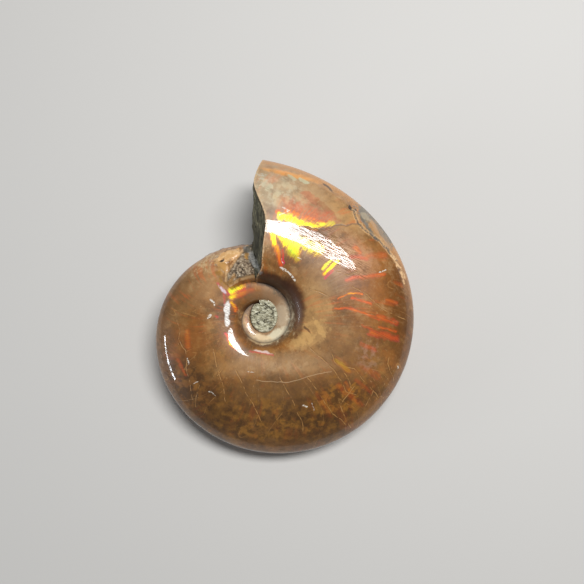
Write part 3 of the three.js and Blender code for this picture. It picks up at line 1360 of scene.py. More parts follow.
@dataclass(frozen=True)
class Ground:
    """The shell's own browns: clouds of umber, brown and tan, with amber and olive in them, and flecks."""

    clouds: Stops = (
        (0.30, seen(104, 66, 30)),
        (0.42, seen(132, 86, 40)),
        (0.52, seen(154, 104, 50)),
        (0.62, seen(172, 121, 64)),
        (0.76, seen(196, 150, 92)),
    )
    amber: Colour = seen(170, 102, 38)
    olive: Colour = seen(100, 82, 42)
    pale: Colour = seen(208, 170, 120)
    dark: Colour = seen(70, 44, 24)

    def lay(self, canvas: Canvas) -> Finish:
        """The bare ground, streaked along the growth lines, grained and flecked.

        Args:
            canvas: What finishes share.

        Returns:
            The finish.
        """
        shader = canvas.shader
        cloud = shader.noise(canvas.level, 4.6, 6.0, 0.62)
        amber = shader.noise(canvas.level.moved(31.0), 2.6, 5.0, 0.62).rise(0.50, 0.66)
        olive = shader.noise(canvas.level.moved(y=47.0), 1.9, 5.0, 0.64).rise(0.52, 0.66)
        finish = Finish(shader, shader.ramp(cloud, self.clouds), 0.42, 0.0, 1.0, 0.0)
        finish = finish.under(amber * 0.5, colour=self.amber).under(olive * 0.45, colour=self.olive)
        finish = finish.shaded(0.58 + 0.34 * canvas.strands + 0.24 * canvas.grain)
        fine = shader.noise(canvas.level.moved(z=21.0), 0.34, 4.0, 0.6)
        finish = finish.under(fine.rise(0.60, 0.70) * 0.45, colour=self.pale)
        finish = finish.under(fine.rise(0.40, 0.31) * 0.5, colour=self.dark)
        return finish.raised(0.016 * canvas.strands + 0.006 * canvas.grain)


@dataclass(frozen=True)
class Tones:
    """Wide, soft changes of the ground's tone and small stains, patch by patch."""

    blots: tuple[Blot, ...] = (
        Blot((1.5, 18.8), (5.4, 4.0), -15, seen(186, 166, 136), 0.85),
        Blot((8.6, 17.2), (5.0, 2.6), -35, seen(186, 152, 112), 0.75),
        Blot((12.0, 15.6), (3.6, 1.6), -48, seen(182, 138, 84), 0.7),
        Blot((6.7, 18.0), (1.7, 0.8), -32, seen(188, 118, 84), 0.7, 0.12, 2.0),
        Blot((9.2, 16.4), (2.2, 0.5), -38, seen(158, 106, 66), 0.6, 0.2, 2.0),
        Blot((5.2, 16.9), (3.6, 0.9), -22, seen(196, 128, 88), 0.6, 0.5, 2.4, 0.8),
        Blot((8.2, 6.6), (3.2, 2.6), -30, seen(164, 124, 80), 0.6),
        Blot((12.6, 7.6), (3.0, 2.2), -20, seen(178, 124, 84), 0.5),
        Blot((17.0, 4.5), (4.5, 6.5), 10, seen(146, 86, 14), 0.75),
        Blot((20.8, 1.0), (2.0, 8.5), 5, seen(100, 58, 4), 0.8),
        Blot((13.6, 9.6), (3.2, 2.0), -34, seen(210, 156, 112), 0.55, 0.5, 2.0),
        Blot((9.8, 4.8), (2.8, 1.7), 25, seen(140, 108, 76), 0.5),
        Blot((7.8, 0.8), (2.3, 4.6), 0, seen(188, 146, 92), 0.75),
        Blot((7.6, -1.7), (2.5, 1.7), 25, seen(214, 168, 104), 0.95, 0.12, 1.6),
        Blot((5.8, -3.4), (1.5, 1.0), 10, seen(190, 148, 92), 0.8, 0.25, 1.8),
        Blot((9.4, 2.0), (1.6, 1.3), 0, seen(190, 148, 92), 0.7, 0.3, 2.4, 1.2),
        Blot((10.8, -2.4), (4.6, 2.8), -15, seen(142, 104, 62), 0.6),
        Blot((12.5, -7.0), (5.0, 3.2), 30, seen(132, 92, 52), 0.55),
        Blot((15.8, -4.6), (1.6, 2.4), 15, seen(172, 134, 108), 0.5, 0.5, 2.4, 0.8),
        Blot((8.7, -0.9), (1.6, 0.4), -58, seen(204, 160, 98), 0.8, 0.15, 2.4),
        Blot((6.6, -2.6), (1.7, 0.8), 35, seen(204, 160, 98), 0.7, 0.12, 2.4),
        Blot((7.0, -1.3), (0.7, 0.16), -50, seen(98, 70, 44), 0.8, 0.3, 2.4),
        Blot((5.5, -6.3), (5.0, 1.7), 5, seen(180, 144, 102), 0.6),
        Blot((-1.5, -6.8), (3.6, 1.6), 10, seen(170, 132, 88), 0.6),
        Blot((2.5, -7.0), (5.0, 0.9), 8, seen(188, 152, 110), 0.6, 0.5, 2.4, 1.4),
        Blot((-12.6, -4.6), (4.6, 7.4), 10, seen(108, 68, 14), 0.6),
        Blot((2.5, -11.2), (8.0, 3.2), 0, seen(104, 74, 40), 0.7),
        Blot((10.6, -13.0), (5.6, 3.6), 35, seen(72, 42, 4), 0.75),
        Blot((0.5, -16.0), (14.0, 4.4), 4, seen(88, 58, 26), 0.7),
        Blot((0.0, -14.8), (11.0, 3.6), 4, seen(148, 102, 40), 0.75, 0.5, 1.6, 1.5),
        Blot((2.0, -16.0), (12.0, 3.0), 4, seen(70, 46, 20), 0.6, 0.5, 1.6, 0.8),
        Blot((12.0, -11.5), (4.6, 3.0), 45, seen(172, 116, 40), 0.6, 0.5, 1.8, 1.1),
        Blot((-9.5, -11.5), (5.4, 4.4), -40, seen(64, 38, 6), 0.75),
        Blot((-10.5, -10.5), (3.4, 4.4), 35, seen(150, 98, 40), 0.5, 0.5, 1.6, 1.3),
        Blot((-9.2, 5.8), (4.6, 3.4), 35, seen(178, 136, 92), 0.65),
        Blot((-9.0, 7.0), (3.4, 1.8), 40, seen(196, 158, 112), 0.6, 0.5, 2.0, 1.1),
        Blot((-10.5, -3.6), (2.6, 2.6), 0, seen(150, 88, 34), 0.5, 0.6, 2.0),
        Blot((-12.4, 3.6), (2.8, 4.4), -20, seen(116, 82, 42), 0.6),
        Blot((2.2, 18.6), (3.6, 2.6), -20, seen(204, 190, 158), 0.6, 0.4, 2.0, 0.75),
        Blot((-0.4, 20.6), (0.8, 1.0), 30, seen(190, 190, 172), 0.85, 0.3, 2.2, 0.5),
        Blot((4.0, 21.6), (4.2, 0.45), -11, seen(226, 156, 78), 0.85, 0.5, 1.6),
        Blot((5.7, 20.7), (1.0, 0.36), -20, seen(190, 186, 152), 0.9, 0.12, 2.8),
        Blot((3.9, 21.2), (0.7, 0.3), -30, seen(188, 180, 146), 0.85, 0.15, 2.8),
        Blot((0.2, 19.7), (0.7, 0.8), 30, seen(206, 196, 164), 0.8, 0.15, 3.0),
        Blot((2.0, 18.1), (0.8, 0.4), 40, seen(206, 192, 156), 0.7, 0.2, 3.0),
        Blot((3.4, 19.7), (1.1, 0.4), -25, seen(200, 180, 144), 0.7, 0.2, 3.0),
        Blot((2.0, 17.1), (0.4, 0.9), 20, seen(204, 184, 146), 0.65, 0.2, 3.0),
        Blot((3.5, 17.2), (0.35, 0.7), 0, seen(206, 182, 140), 0.6, 0.2, 3.0),
        Blot((5.4, 17.9), (1.5, 0.5), -30, seen(206, 172, 130), 0.55, 0.3, 3.0),
        Blot((1.6, 15.4), (1.2, 0.8), 0, seen(134, 102, 78), 0.5, 0.5, 2.4),
        Blot((2.2, 15.6), (0.35, 0.3), 0, seen(232, 118, 40), 0.8, 0.3, 2.0),
    )

    def lay(self, canvas: Canvas, finish: Finish) -> Finish:
        """Lays the patches one over another."""
        for blot in self.blots:
            finish = blot.lay(canvas, finish)
        return finish


@dataclass(frozen=True)
class Mottling:
    """Small uneven patches all over, pale, golden, dark and rust, where the shell's layers are worn."""

    pale: Colour = seen(206, 168, 118)
    golden: Colour = seen(170, 118, 46)
    dark: Colour = seen(70, 46, 24)
    rust: Colour = seen(150, 84, 38)
    size: float = 1.5

    def lay(self, canvas: Canvas, finish: Finish) -> Finish:
        """Lays the patches where two noises are high or low.

        Args:
            canvas: What finishes share.
            finish: What is below.

        Returns:
            The covered finish.
        """
        shader = canvas.shader
        patches = shader.noise(canvas.warped.moved(z=61.0), self.size, 6.0, 0.68)
        others = shader.noise(canvas.warped.moved(53.0), 1.3 * self.size, 5.0, 0.66)
        finish = finish.shaded(0.68 + 0.64 * patches)
        light = shader.blend(canvas.level.y.rise(-7.0, 4.0), self.golden, self.pale)
        finish = finish.under(others.rise(0.49, 0.71) * 0.34, colour=light)
        finish = finish.under(others.rise(0.49, 0.30) * 0.32, colour=self.dark)
        return finish.under(patches.rise(0.58, 0.68) * 0.25, colour=self.rust)


@dataclass(frozen=True)
class Streak:
    """A flash of nacre fire along a straight stretch, part the nacre's own colour and part painted
    reflection. Hues run from 0, magenta, through reds to 1, green.
    """

    start: tuple[float, float]
    end: tuple[float, float]
    half_width: float
    hues: tuple[float, float]
    strength: float = 1.0


@dataclass(frozen=True)
class FireAndPaintedReflection:
    """The nacre's colours, part its own and part painted reflection: flashes placed by the gloss where the
    key light's highlight falls and along the growth lines, and faint ones all over.
    """

    hues: Stops = (
        (0.00, (0.80, 0.03, 0.16)),
        (0.14, (0.72, 0.04, 0.02)),
        (0.30, (0.90, 0.13, 0.015)),
        (0.46, (1.00, 0.30, 0.01)),
        (0.60, (1.00, 0.55, 0.01)),
        (0.74, (1.00, 0.86, 0.01)),
        (0.87, (0.55, 0.78, 0.03)),
        (1.00, (0.22, 0.55, 0.06)),
    )
    # flashes placed around the key light's highlight and along the growth lines: part nacre colour, part
    # painted reflection
    streaks: tuple[Streak, ...] = (
        Streak((3.6, 16.2), (9.4, 14.6), 1.5, (0.34, 0.24), 0.42),
        Streak((3.6, 15.6), (8.8, 14.2), 0.7, (0.44, 0.34), 0.75),
        Streak((2.6, 14.9), (7.6, 13.6), 0.62, (0.84, 0.66)),
        Streak((2.4, 15.3), (3.0, 15.0), 0.4, (0.95, 0.90), 0.8),
        Streak((8.0, 13.8), (10.2, 14.2), 0.5, (0.78, 0.86), 0.6),
        Streak((3.0, 12.0), (4.9, 10.0), 1.0, (0.84, 0.78)),
        Streak((5.2, 11.4), (8.4, 10.2), 1.1, (0.98, 0.90), 0.65),
        Streak((4.2, 9.9), (5.2, 8.8), 0.7, (0.92, 0.80), 0.5),
        Streak((1.5, 12.4), (2.2, 9.9), 0.42, (0.80, 0.66)),
        Streak((2.2, 10.4), (2.9, 7.9), 0.42, (0.56, 0.26)),
        Streak((3.1, 9.9), (3.3, 8.2), 0.22, (0.24, 0.08)),
        Streak((11.0, 8.8), (9.2, 6.9), 0.42, (0.84, 0.62)),
        Streak((9.9, 8.7), (9.0, 7.6), 0.3, (0.98, 0.90), 0.7),
        Streak((10.4, 7.3), (9.2, 6.2), 0.24, (0.16, 0.04), 0.8),
        Streak((13.5, 10.8), (14.1, 10.1), 0.45, (0.42, 0.36), 0.6),
        Streak((13.0, 9.5), (15.2, 9.3), 0.4, (0.16, 0.20), 0.55),
        Streak((12.3, 6.1), (14.3, 6.5), 0.34, (0.24, 0.26), 0.7),
        Streak((14.3, 6.5), (18.0, 7.2), 0.36, (0.30, 0.34), 0.5),
        Streak((11.2, 3.3), (12.5, 4.1), 0.16, (0.36, 0.48), 0.8),
        Streak((12.5, 4.1), (14.6, 4.2), 0.17, (0.54, 0.38), 1.0),
        Streak((13.2, 3.6), (16.1, 2.7), 0.24, (0.34, 0.28), 0.75),
        Streak((10.8, 1.9), (13.1, 2.0), 0.14, (0.36, 0.38), 0.7),
        Streak((13.1, 2.0), (17.2, 0.6), 0.24, (0.38, 0.30), 0.7),
        Streak((17.2, 0.9), (20.0, 0.1), 0.45, (0.34, 0.28), 0.5),
        Streak((14.8, -0.3), (16.4, -1.0), 0.24, (0.30, 0.30), 0.45),
        Streak((16.2, -1.4), (20.2, -2.2), 0.55, (0.30, 0.24), 0.55),
        Streak((17.4, -0.6), (20.0, -1.2), 0.25, (0.36, 0.30), 0.5),
        Streak((18.4, 3.4), (20.0, 3.0), 0.35, (0.40, 0.32), 0.4),
        Streak((15.3, 9.7), (18.2, 10.0), 0.5, (0.36, 0.30), 0.3),
        Streak((14.9, -3.1), (16.8, -3.9), 0.4, (0.30, 0.26), 0.35),
        Streak((15.0, -6.4), (17.5, -7.9), 0.5, (0.30, 0.24), 0.18),
        Streak((14.2, -8.4), (16.6, -10.2), 0.35, (0.32, 0.26), 0.18),
        Streak((11.7, -9.3), (15.2, -12.2), 0.5, (0.34, 0.26), 0.2),
        Streak((12.6, -8.9), (14.2, -10.8), 0.3, (0.46, 0.40), 0.26),
        Streak((11.2, -5.5), (13.1, -6.8), 0.6, (0.66, 0.64), 0.3),
        Streak((8.6, -10.6), (10.8, -13.8), 0.4, (0.40, 0.34), 0.12),
        Streak((-4.5, 3.9), (-2.8, 4.5), 0.75, (0.86, 0.70)),
        Streak((-4.4, 3.1), (-2.4, 4.0), 0.6, (0.72, 0.34)),
        Streak((-3.0, 3.6), (-1.4, 4.3), 0.5, (0.44, 0.30), 0.6),
        Streak((-4.3, 2.4), (-3.8, 1.2), 0.35, (0.60, 0.40)),
        Streak((-5.6, 3.6), (-5.0, 1.0), 0.22, (0.16, 0.10), 0.5),
        Streak((-5.0, -2.4), (-4.2, -3.6), 0.3, (0.16, 0.50)),
        Streak((-4.2, -3.6), (-3.2, -4.4), 0.3, (0.66, 0.34)),
        Streak((-1.4, -4.8), (2.1, -5.1), 0.15, (0.12, 0.12), 0.5),
        Streak((-6.6, 0.2), (-6.3, 0.1), 0.2, (0.18, 0.14), 0.7),
        Streak((-6.4, 5.0), (-5.0, 3.5), 0.3, (0.08, 0.14), 0.6),
        Streak((-2.7, 0.4), (-2.2, -1.2), 0.4, (0.50, 0.44), 0.7),
        Streak((-10.8, -2.2), (-10.6, -4.6), 0.5, (0.46, 0.40), 0.3),
        Streak((-12.2, -6.4), (-11.0, -8.6), 0.35, (0.36, 0.40), 0.35),
    )
    glimmer: float = 0.22

    def lay(self, canvas: Canvas, finish: Finish) -> Finish:
        """Lays the faint fire and then each flash, part nacre colour and part painted reflection, frayed
        along the growth lines.

        Args:
            canvas: What finishes share.
            finish: What is below.

        Returns:
            The covered finish.
        """
        shader = canvas.shader
        fields = shader.noise(canvas.level.moved(z=17.0), 4.5)
        threads = shader.noise(canvas.grown.moved(13.0), (0.7, 8.0, 1.0), 3.0)
        fine = shader.noise(canvas.grown.moved(29.0), (0.16, 2.4, 1.0), 3.0, 0.6)
        fray = (canvas.strands - 0.5) * 1.6 + (fine - 0.5) * 1.2 + canvas.fray * 0.9
        thinned = 0.25 + 0.75 * fine.rise(0.36, 0.52)
        glimmer = (0.3 + 0.7 * canvas.level.y.rise(-9.0, 3.0)) * self.glimmer
        mask = (0.5 * fields + 0.5 * threads).rise(0.54, 0.64) * glimmer
        hue = 0.18 + 0.3 * canvas.strands
        for streak in self.streaks:
            first, last = streak.hues
            mask, hue = canvas.flash.use(
                shader,
                at=canvas.drifted,
                **canvas.stretch.shape(streak.start, streak.end),
                close=1 / streak.half_width,
                fray=fray,
                threads=thinned,
                first=first,
                change=last - first,
                strength=streak.strength,
                upper=canvas.upper,
                mask=mask,
                hue=hue,
            )
        hue = hue * (0.78 + 0.22 * mask) + (canvas.strands - 0.5) * 0.36 + (fine - 0.5) * 0.5
        colour = shader.ramp(hue, self.hues)
        return finish.under(mask, colour=colour, metal=0.1 + 0.6 * hue.rise(0.4, 0.75), rough=0.34)


@dataclass(frozen=True)
class PaintedGlints(Tones):
    """Painted highlights: white glints along the umbilical shoulder that carry the key light's reflection
    further, a painted pink and blue shine beside the remnant, and two smaller painted glints by the
    umbilicus.
    """

    blots: tuple[Blot, ...] = (
        # painted highlights: each blot is a painted glint
        Blot((-4.95, 1.4), (0.42, 1.3), -4, seen(255, 252, 246), 0.95, 0.3, 1.8),
        Blot((-4.85, -0.6), (0.36, 0.8), 4, seen(255, 252, 246), 0.95, 0.3, 1.8),
        Blot((-3.6, -3.7), (1.3, 0.26), -42, seen(255, 250, 244), 0.9, 0.3, 1.8),
        Blot((0.4, -4.75), (1.1, 0.14), -8, seen(238, 214, 206), 0.7, 0.4, 2.4),
        Blot((-5.8, 4.2), (0.9, 0.22), -48, seen(232, 222, 236), 0.75, 0.4, 2.0),
        Blot((-2.8, -0.5), (0.32, 1.2), 16, seen(250, 214, 168), 0.6, 0.5, 2.0),
    )


@dataclass(frozen=True)
class Wear:
    """Fine rubbing lines along one bearing, which break the gloss where areas say so.

    Only the masks of the areas are used, so their colour is plain white.
    """

    bearing: float = -23.6
    size: tuple[float, float, float] = (1.3, 0.14, 1.0)
    colour: Colour = seen(104, 76, 52)
    areas: tuple[Blot, ...] = (
        Blot((10.2, 10.8), (5.6, 2.2), -28, WHITE, 0.95, 0.5, 1.4),
        Blot((13.6, 8.2), (2.6, 1.6), -34, WHITE, 1.0, 0.5, 1.4),
        Blot((-13.8, -6.0), (1.6, 4.6), 12, WHITE, 0.9, 0.3, 1.4),
        Blot((-4.7, 0.6), (1.0, 3.0), 0, WHITE, 0.8, 0.3, 1.4),
    )

    def lay(self, canvas: Canvas, finish: Finish) -> Finish:
        """Takes the gloss from the lines.

        Args:
            canvas: What finishes share.
            finish: What is below.

        Returns:
            The covered finish.
        """
        shader = canvas.shader
        east, north = math.cos(math.radians(self.bearing)), math.sin(math.radians(self.bearing))
        along = canvas.flat.x * east + canvas.flat.y * north
        across = canvas.flat.y * east - canvas.flat.x * north
        lines = shader.noise(Place(along, across, 0.0), self.size, 3.0, 0.6).rise(0.48, 0.55)
        worn: Operand = 0.0
        for area in self.areas:
            worn = area.spread(canvas, (0.0, 0.0, 0.0))[1].most(worn)
        finish = finish.under(worn * lines * 0.55, colour=self.colour)
        return finish.under(worn * lines, polish=0.0, rough=0.8)


@dataclass(frozen=True)
class Cracks:
    """Healed cracks, fine lines of tan mineral in a darker edge, and hair cracks along the growth."""

    lines: tuple[Line, ...] = (
        ((-6.7, -4.6), (-6.1, -7.4), (-5.2, -9.6), (-4.8, -12.2)),
        ((-6.1, -8.4), (-5.0, -6.9)),
        ((-3.4, -7.4), (-2.0, -10.2), (-0.8, -12.1), (0.6, -14.9)),
        ((3.4, -8.4), (4.5, -10.4), (5.4, -12.4), (6.4, -14.6), (6.9, -16.4)),
        ((7.4, -8.1), (9.1, -10.8), (11.0, -13.3), (13.4, -15.6)),
        ((5.0, -1.1), (6.2, -2.0), (7.6, -3.8), (9.4, -5.4), (10.9, -6.8)),
        ((10.9, -6.8), (11.9, -8.4), (13.0, -10.2), (14.4, -10.6)),
        ((10.0, -3.7), (11.0, -5.4), (12.4, -7.2), (13.6, -9.6)),
        ((11.9, -6.3), (13.8, -6.6), (15.4, -8.4), (17.4, -10.4), (18.0, -11.2)),
        ((14.0, -9.4), (12.3, -12.2), (12.8, -14.2), (13.9, -15.8)),
        ((17.0, -9.9), (15.7, -13.0)),
        ((19.2, -4.4), (19.0, -6.0), (20.0, -8.6)),
        ((-11.9, -3.6), (-11.0, -5.2), (-10.7, -7.2), (-10.4, -9.4), (-9.9, -12.4)),
        ((-12.6, -0.6), (-12.0, -2.2), (-12.1, -4.2)),
        ((-8.4, -9.6), (-9.2, -11.6), (-9.4, -13.4)),
        ((7.4, 4.7), (9.8, 3.7)),
        ((13.4, 5.2), (15.9, 3.6), (18.3, 1.9), (21.8, 0.4)),
        ((11.0, 7.0), (12.6, 6.7), (14.0, 7.4)),
    )
    scratch: Line = (
        (-0.2, -8.8),
        (1.8, -9.1),
        (4.1, -9.0),
        (7.6, -7.9),
        (10.6, -7.2),
    )
    half_width: float = 0.06
    mineral: Colour = seen(198, 146, 82)
    edge: Colour = seen(74, 48, 26)
    scraped: Colour = seen(212, 178, 140)

    def lay(self, canvas: Canvas, finish: Finish) -> Finish:
        """Lays the dark edges, the mineral and the hair cracks, where a noise passes its middle.

        Args:
            canvas: What finishes share.
            finish: What is below.

        Returns:
            The covered finish.
        """
        shader, half_width = canvas.shader, self.half_width
        wavering = canvas.vector.of(shader, shader.drift(shader.drift(canvas.flat, 3.2, 0.5), 0.5, 0.05))
        nearest = canvas.stretch.from_lines(shader, wavering, self.lines)
        shown = canvas.patchy * canvas.upper
        finish = finish.under(nearest.rise(5 * half_width, half_width) * shown * 0.35, colour=self.edge)
        branching = abs(shader.noise(canvas.grown.moved(z=9.0), (4.0, 20.0, 1.0), 1.5) - 0.5)
        hair = branching.rise(0.004, 0.001) * canvas.patchy * 0.4
        line = (nearest.rise(1.6 * half_width, 0.3 * half_width) * shown * 0.7).most(hair)
        finish = finish.under(line, colour=self.mineral)
        scraped = canvas.stretch.from_lines(shader, wavering, (self.scratch,))
        scraped = scraped.rise(1.3 * half_width, 0.3 * half_width)
        finish = finish.under(scraped * canvas.upper * 0.5, colour=self.scraped)
        return finish.raised(line * -0.02)


@dataclass(frozen=True)
class RimPatch:
    """A patch of grey-blue and tan stone on the keel, outlined in slate, with a vein running in from it."""

    patches: tuple[Blot, ...] = (
        Blot((16.6, 14.6), (4.2, 1.5), -50, seen(112, 106, 94), 0.95, 0.12, 1.4),
        Blot((17.2, 13.3), (2.8, 0.7), -53, seen(184, 138, 88), 0.9, 0.3, 2.0),
        Blot((15.1, 15.8), (0.9, 0.5), -40, seen(164, 150, 124), 0.8, 0.3, 2.0),
        Blot((17.8, 13.2), (1.6, 0.25), -56, seen(120, 108, 92), 0.7, 0.4, 2.4),
        Blot((12.8, 17.0), (0.5, 0.28), -60, seen(58, 50, 44), 0.95, 0.15, 1.6),
        Blot((13.4, 16.7), (0.35, 0.25), 20, seen(52, 46, 42), 0.95, 0.15, 1.6),
        Blot((9.3, 20.1), (1.1, 0.22), -38, seen(66, 52, 40), 0.8, 0.3, 2.0),
    )
    vein: Line = (
        (5.6, 13.7),
        (7.1, 13.4),
        (8.7, 13.2),
        (10.7, 13.9),
        (14.0, 14.5),
    )
    vein_half_width: float = 0.12
    outline: Line = (
        (13.2, 16.6),
        (14.0, 14.6),
        (15.1, 13.6),
        (16.1, 12.9),
        (17.3, 12.1),
        (18.6, 11.0),
        (19.8, 9.4),
    )
    outline_half_width: float = 0.17
    chipped: Line = ((19.4, 10.0), (20.2, 8.6), (20.9, 7.4), (21.3, 6.2))
    rim: Colour = seen(208, 146, 78)
    slate: Colour = seen(76, 72, 66)
    vein_colour: Colour = seen(120, 98, 78)
    lip: Colour = seen(222, 180, 128)

    def lay(self, canvas: Canvas, finish: Finish) -> Finish:
        """Lays the rim's tan, the patches, their outline with its pale lip, and the vein.

        Args:
            canvas: What finishes share.
            finish: What is below.

        Returns:
            The covered finish.
        """
        shader, stretch, wide = canvas.shader, canvas.stretch, self.outline_half_width
        rim = (canvas.outward + canvas.fray * 0.16).rise(0.86, 0.96)
        rim = rim * canvas.line.rise(-80.0, -50.0) * canvas.line.rise(30.0, 0.0) * 0.7
        finish = finish.under(rim, colour=self.rim)
        for patch in self.patches:
            finish = patch.lay(canvas, finish)
        wavering = canvas.vector.of(shader, shader.drift(canvas.wandering.moved(z=3.0), 0.45, 0.2))
        outline = stretch.from_lines(shader, wavering, (self.outline,))
        lip = outline.rise(2.6 * wide, 1.4 * wide) * canvas.patchy * canvas.upper * 0.6
        finish = finish.under(lip, colour=self.lip)
        edge = outline.rise(1.4 * wide, 0.3 * wide) * canvas.grain.rise(0.38, 0.52) * canvas.upper * 0.8
        finish = finish.under(edge, colour=self.slate, metal=0.0)
        vein = stretch.from_lines(shader, wavering, (self.vein,))
        vein = vein.rise(1.6 * self.vein_half_width, 0.2 * self.vein_half_width) * canvas.upper * 0.7
        finish = finish.under(vein, colour=self.vein_colour, metal=0.0)
        chips = stretch.from_lines(shader, wavering, (self.chipped,)).rise(0.4, 0.2)
        finish = finish.under(chips * canvas.patchy * canvas.upper, colour=self.lip)
        return finish.raised(vein.most(edge) * -0.04)


@dataclass(frozen=True)
class GlintsAndScuffs:
    """Small bright marks in the polish, as short stretches with their half widths: painted glints where the
    key light catches small bumps, with scuffs and chips among them.
    """

    marks: tuple[tuple[tuple[float, float], tuple[float, float], float], ...] = (
        ((2.8, 16.3), (3.8, 15.7), 0.12),
        ((3.2, 16.3), (3.6, 15.6), 0.10),
        ((2.4, 15.2), (3.2, 15.4), 0.07),
        ((2.9, 7.5), (3.8, 7.0), 0.2),
        ((3.9, 6.9), (4.9, 5.9), 0.16),
        ((3.0, 8.8), (3.2, 8.2), 0.08),
        ((-7.4, 2.6), (-6.8, 1.9), 0.12),
        ((-7.7, -0.1), (-7.3, 0.3), 0.16),
        ((-10.7, -6.1), (-10.4, -6.9), 0.10),
        ((-9.5, -9.9), (-8.9, -9.5), 0.06),
        ((-7.2, -10.8), (-6.3, -11.4), 0.08),
        ((5.2, 8.9), (5.9, 8.7), 0.06),
        ((6.6, -12.3), (7.4, -12.5), 0.09),
        ((8.0, -12.0), (8.3, -13.0), 0.05),
        ((17.2, 7.4), (18.2, 7.7), 0.10),
        ((-1.6, -7.6), (-0.6, -7.8), 0.05),
        ((20.6, -6.4), (20.7, -6.7), 0.12),
    )
    # pale colour of the painted glints and the scuffs
    colour: Colour = seen(232, 226, 214)

    def lay(self, canvas: Canvas, finish: Finish) -> Finish:
        """Lays the marks, broken up by the grain.

        Args:
            canvas: What finishes share.
            finish: What is below.

        Returns:
            The covered finish.
        """
        mask: Operand = 0.0
        for start, end, half_width in self.marks:
            away = canvas.stretch.measure(canvas.shader, canvas.drifted, start, end)[0] * (1 / half_width)
            mask = (away + canvas.fray * 2.0).rise(1.2, 0.6).most(mask)
        mask = mask * canvas.grain.rise(0.44, 0.52) * canvas.upper * 0.85
        # painted glints and scuffs: pale, dull and without metal
        return finish.under(mask, colour=self.colour, rough=0.5, metal=0.0, polish=0.3)


@dataclass(frozen=True)
class Umbilicus:
    """Painted shade on the umbilical wall, the paler inner turns, and dirt with painted shade in the seams.
    """

    # painted shade of the umbilical wall
    wall: Colour = seen(74, 42, 22)
    # dark of the seams: dirt and painted shade
    seam: Colour = seen(48, 33, 21)
    inner: Colour = seen(164, 136, 106)
    blots: tuple[Blot, ...] = (
        # painted shade on the wall at the upper right, which faces away from the key light, with its gloss
        # dulled
        Blot((2.0, 5.6), (2.8, 1.0), -20, seen(60, 33, 17), 0.9, 0.4, 0.8, dull=0.85),
        Blot((4.8, 3.4), (1.3, 3.0), 24, seen(66, 36, 18), 0.9, 0.4, 0.8, dull=0.85),
        Blot((5.6, 0.2), (0.8, 2.6), -4, seen(84, 50, 26), 0.75, 0.4, 0.8, dull=0.85),
        Blot((2.7, 3.6), (2.0, 0.45), -32, seen(92, 92, 76), 0.8, 0.5, 2.4, 0.5),
        Blot((3.4, 0.6), (1.3, 2.0), 4, seen(200, 180, 150), 0.7, 0.5, 2.0),
        Blot((4.3, 0.4), (0.7, 1.9), 4, seen(222, 210, 180), 0.75, 0.5, 2.0, 0.7),
        Blot((2.2, -2.4), (1.9, 0.7), 32, seen(236, 228, 196), 0.8, 0.4, 2.0),
        Blot((4.3, -1.6), (0.28, 1.4), -32, seen(96, 88, 66), 0.7, 0.4, 2.0, 0.3),
        Blot((0.2, -3.0), (1.9, 0.6), -6, seen(232, 206, 162), 0.8, 0.4, 2.0),
        Blot((-2.2, -1.0), (0.7, 2.2), 24, seen(216, 172, 112), 0.75, 0.4, 2.4, 0.6),
        Blot((0.4, 3.4), (3.2, 1.0), 0, seen(132, 100, 70), 0.65, 0.5, 1.6),
    )

    def lay(self, canvas: Canvas, finish: Finish) -> Finish:
        """Lays the inner turns by age, the wall's painted shade by the way out from the seam, and the seams'
        dirt and painted shade by their gap.

        Args:
            canvas: What finishes share.
            finish: What is below.

        Returns:
            The covered finish.
        """
        inner = canvas.line.rise(-352.0, -372.0) * 0.6
        finish = finish.under(inner, colour=self.inner, metal=0.0, polish=0.5)
        # painted shade on the last whorl's umbilical wall
        wall = (canvas.outward + canvas.fray * 0.05).rise(0.12, 0.03)
        wall = wall * canvas.line.rise(-340.0, -310.0) * 0.7
        finish = finish.under(wall, colour=self.wall, metal=0.0, polish=0.2, rough=0.6)
        for blot in self.blots:
            finish = blot.lay(canvas, finish)
        # darker beside the seams: dirt and painted shade
        seam_dirt_and_shade = (canvas.gap + canvas.fray * 1.2).rise(0.6, 0.1) * 0.45
        finish = finish.under(seam_dirt_and_shade, colour=self.seam, metal=0.0, polish=0.6)
        # a narrow dark line in the seams: dirt and painted shade
        seam = (canvas.gap + canvas.frayed).rise(0.2, 0.0) * 0.5
        return finish.under(seam, colour=self.seam, polish=0.2, rough=0.7)


class Stone(Enum):
    """The three places where bare stone shows, and the name of each one's depth on the canvas."""

    UMBILICAL = "plug"
    BROKEN = "broken"
    REMNANT = "remnant"


@dataclass(frozen=True)
class StoneFinish:
    """Dull granular stone: a ramp of tones on layered noise, and dark cracks between warped cells."""

    stone: Stone
    edge: tuple[float, float]
    tones: Stops
    grain: Union[float, tuple[float, float, float]]
    crack_size: tuple[float, float, float]
    crack_width: float
    crack_colour: Colour
    relief: float
    rim: Colour | None = None

    def lay(self, canvas: Canvas, finish: Finish) -> Finish:
        """Covers the shell with the stone, as deep as the mesh says it is.

        Args:
            canvas: What finishes share.
            finish: What is below.

        Returns:
            The covered finish.
        """
        shader = canvas.shader
        depth = getattr(canvas, self.stone.value) + canvas.frayed
        if self.rim:
            rim = depth.rise(-0.34, -0.18) * canvas.patchy * 0.8
            finish = finish.under(rim, colour=self.rim, metal=0.0, rough=0.6, polish=0.4)
        mask = depth.rise(*self.edge)
        tone = shader.noise(canvas.level, self.grain, 6.0, 0.7)
        folds = abs(shader.noise(canvas.warped, self.crack_size, 2.0) - 0.5)
        crack = folds.rise(self.crack_width, self.crack_width * 0.2) * canvas.patchy
        colour = shader.blend(crack, shader.ramp(tone, self.tones), self.crack_colour)
        relief = (tone * 1.6 - crack + canvas.grit) * self.relief
        return finish.under(mask, colour=colour, rough=0.85, metal=0.0, polish=0.0, relief=relief)


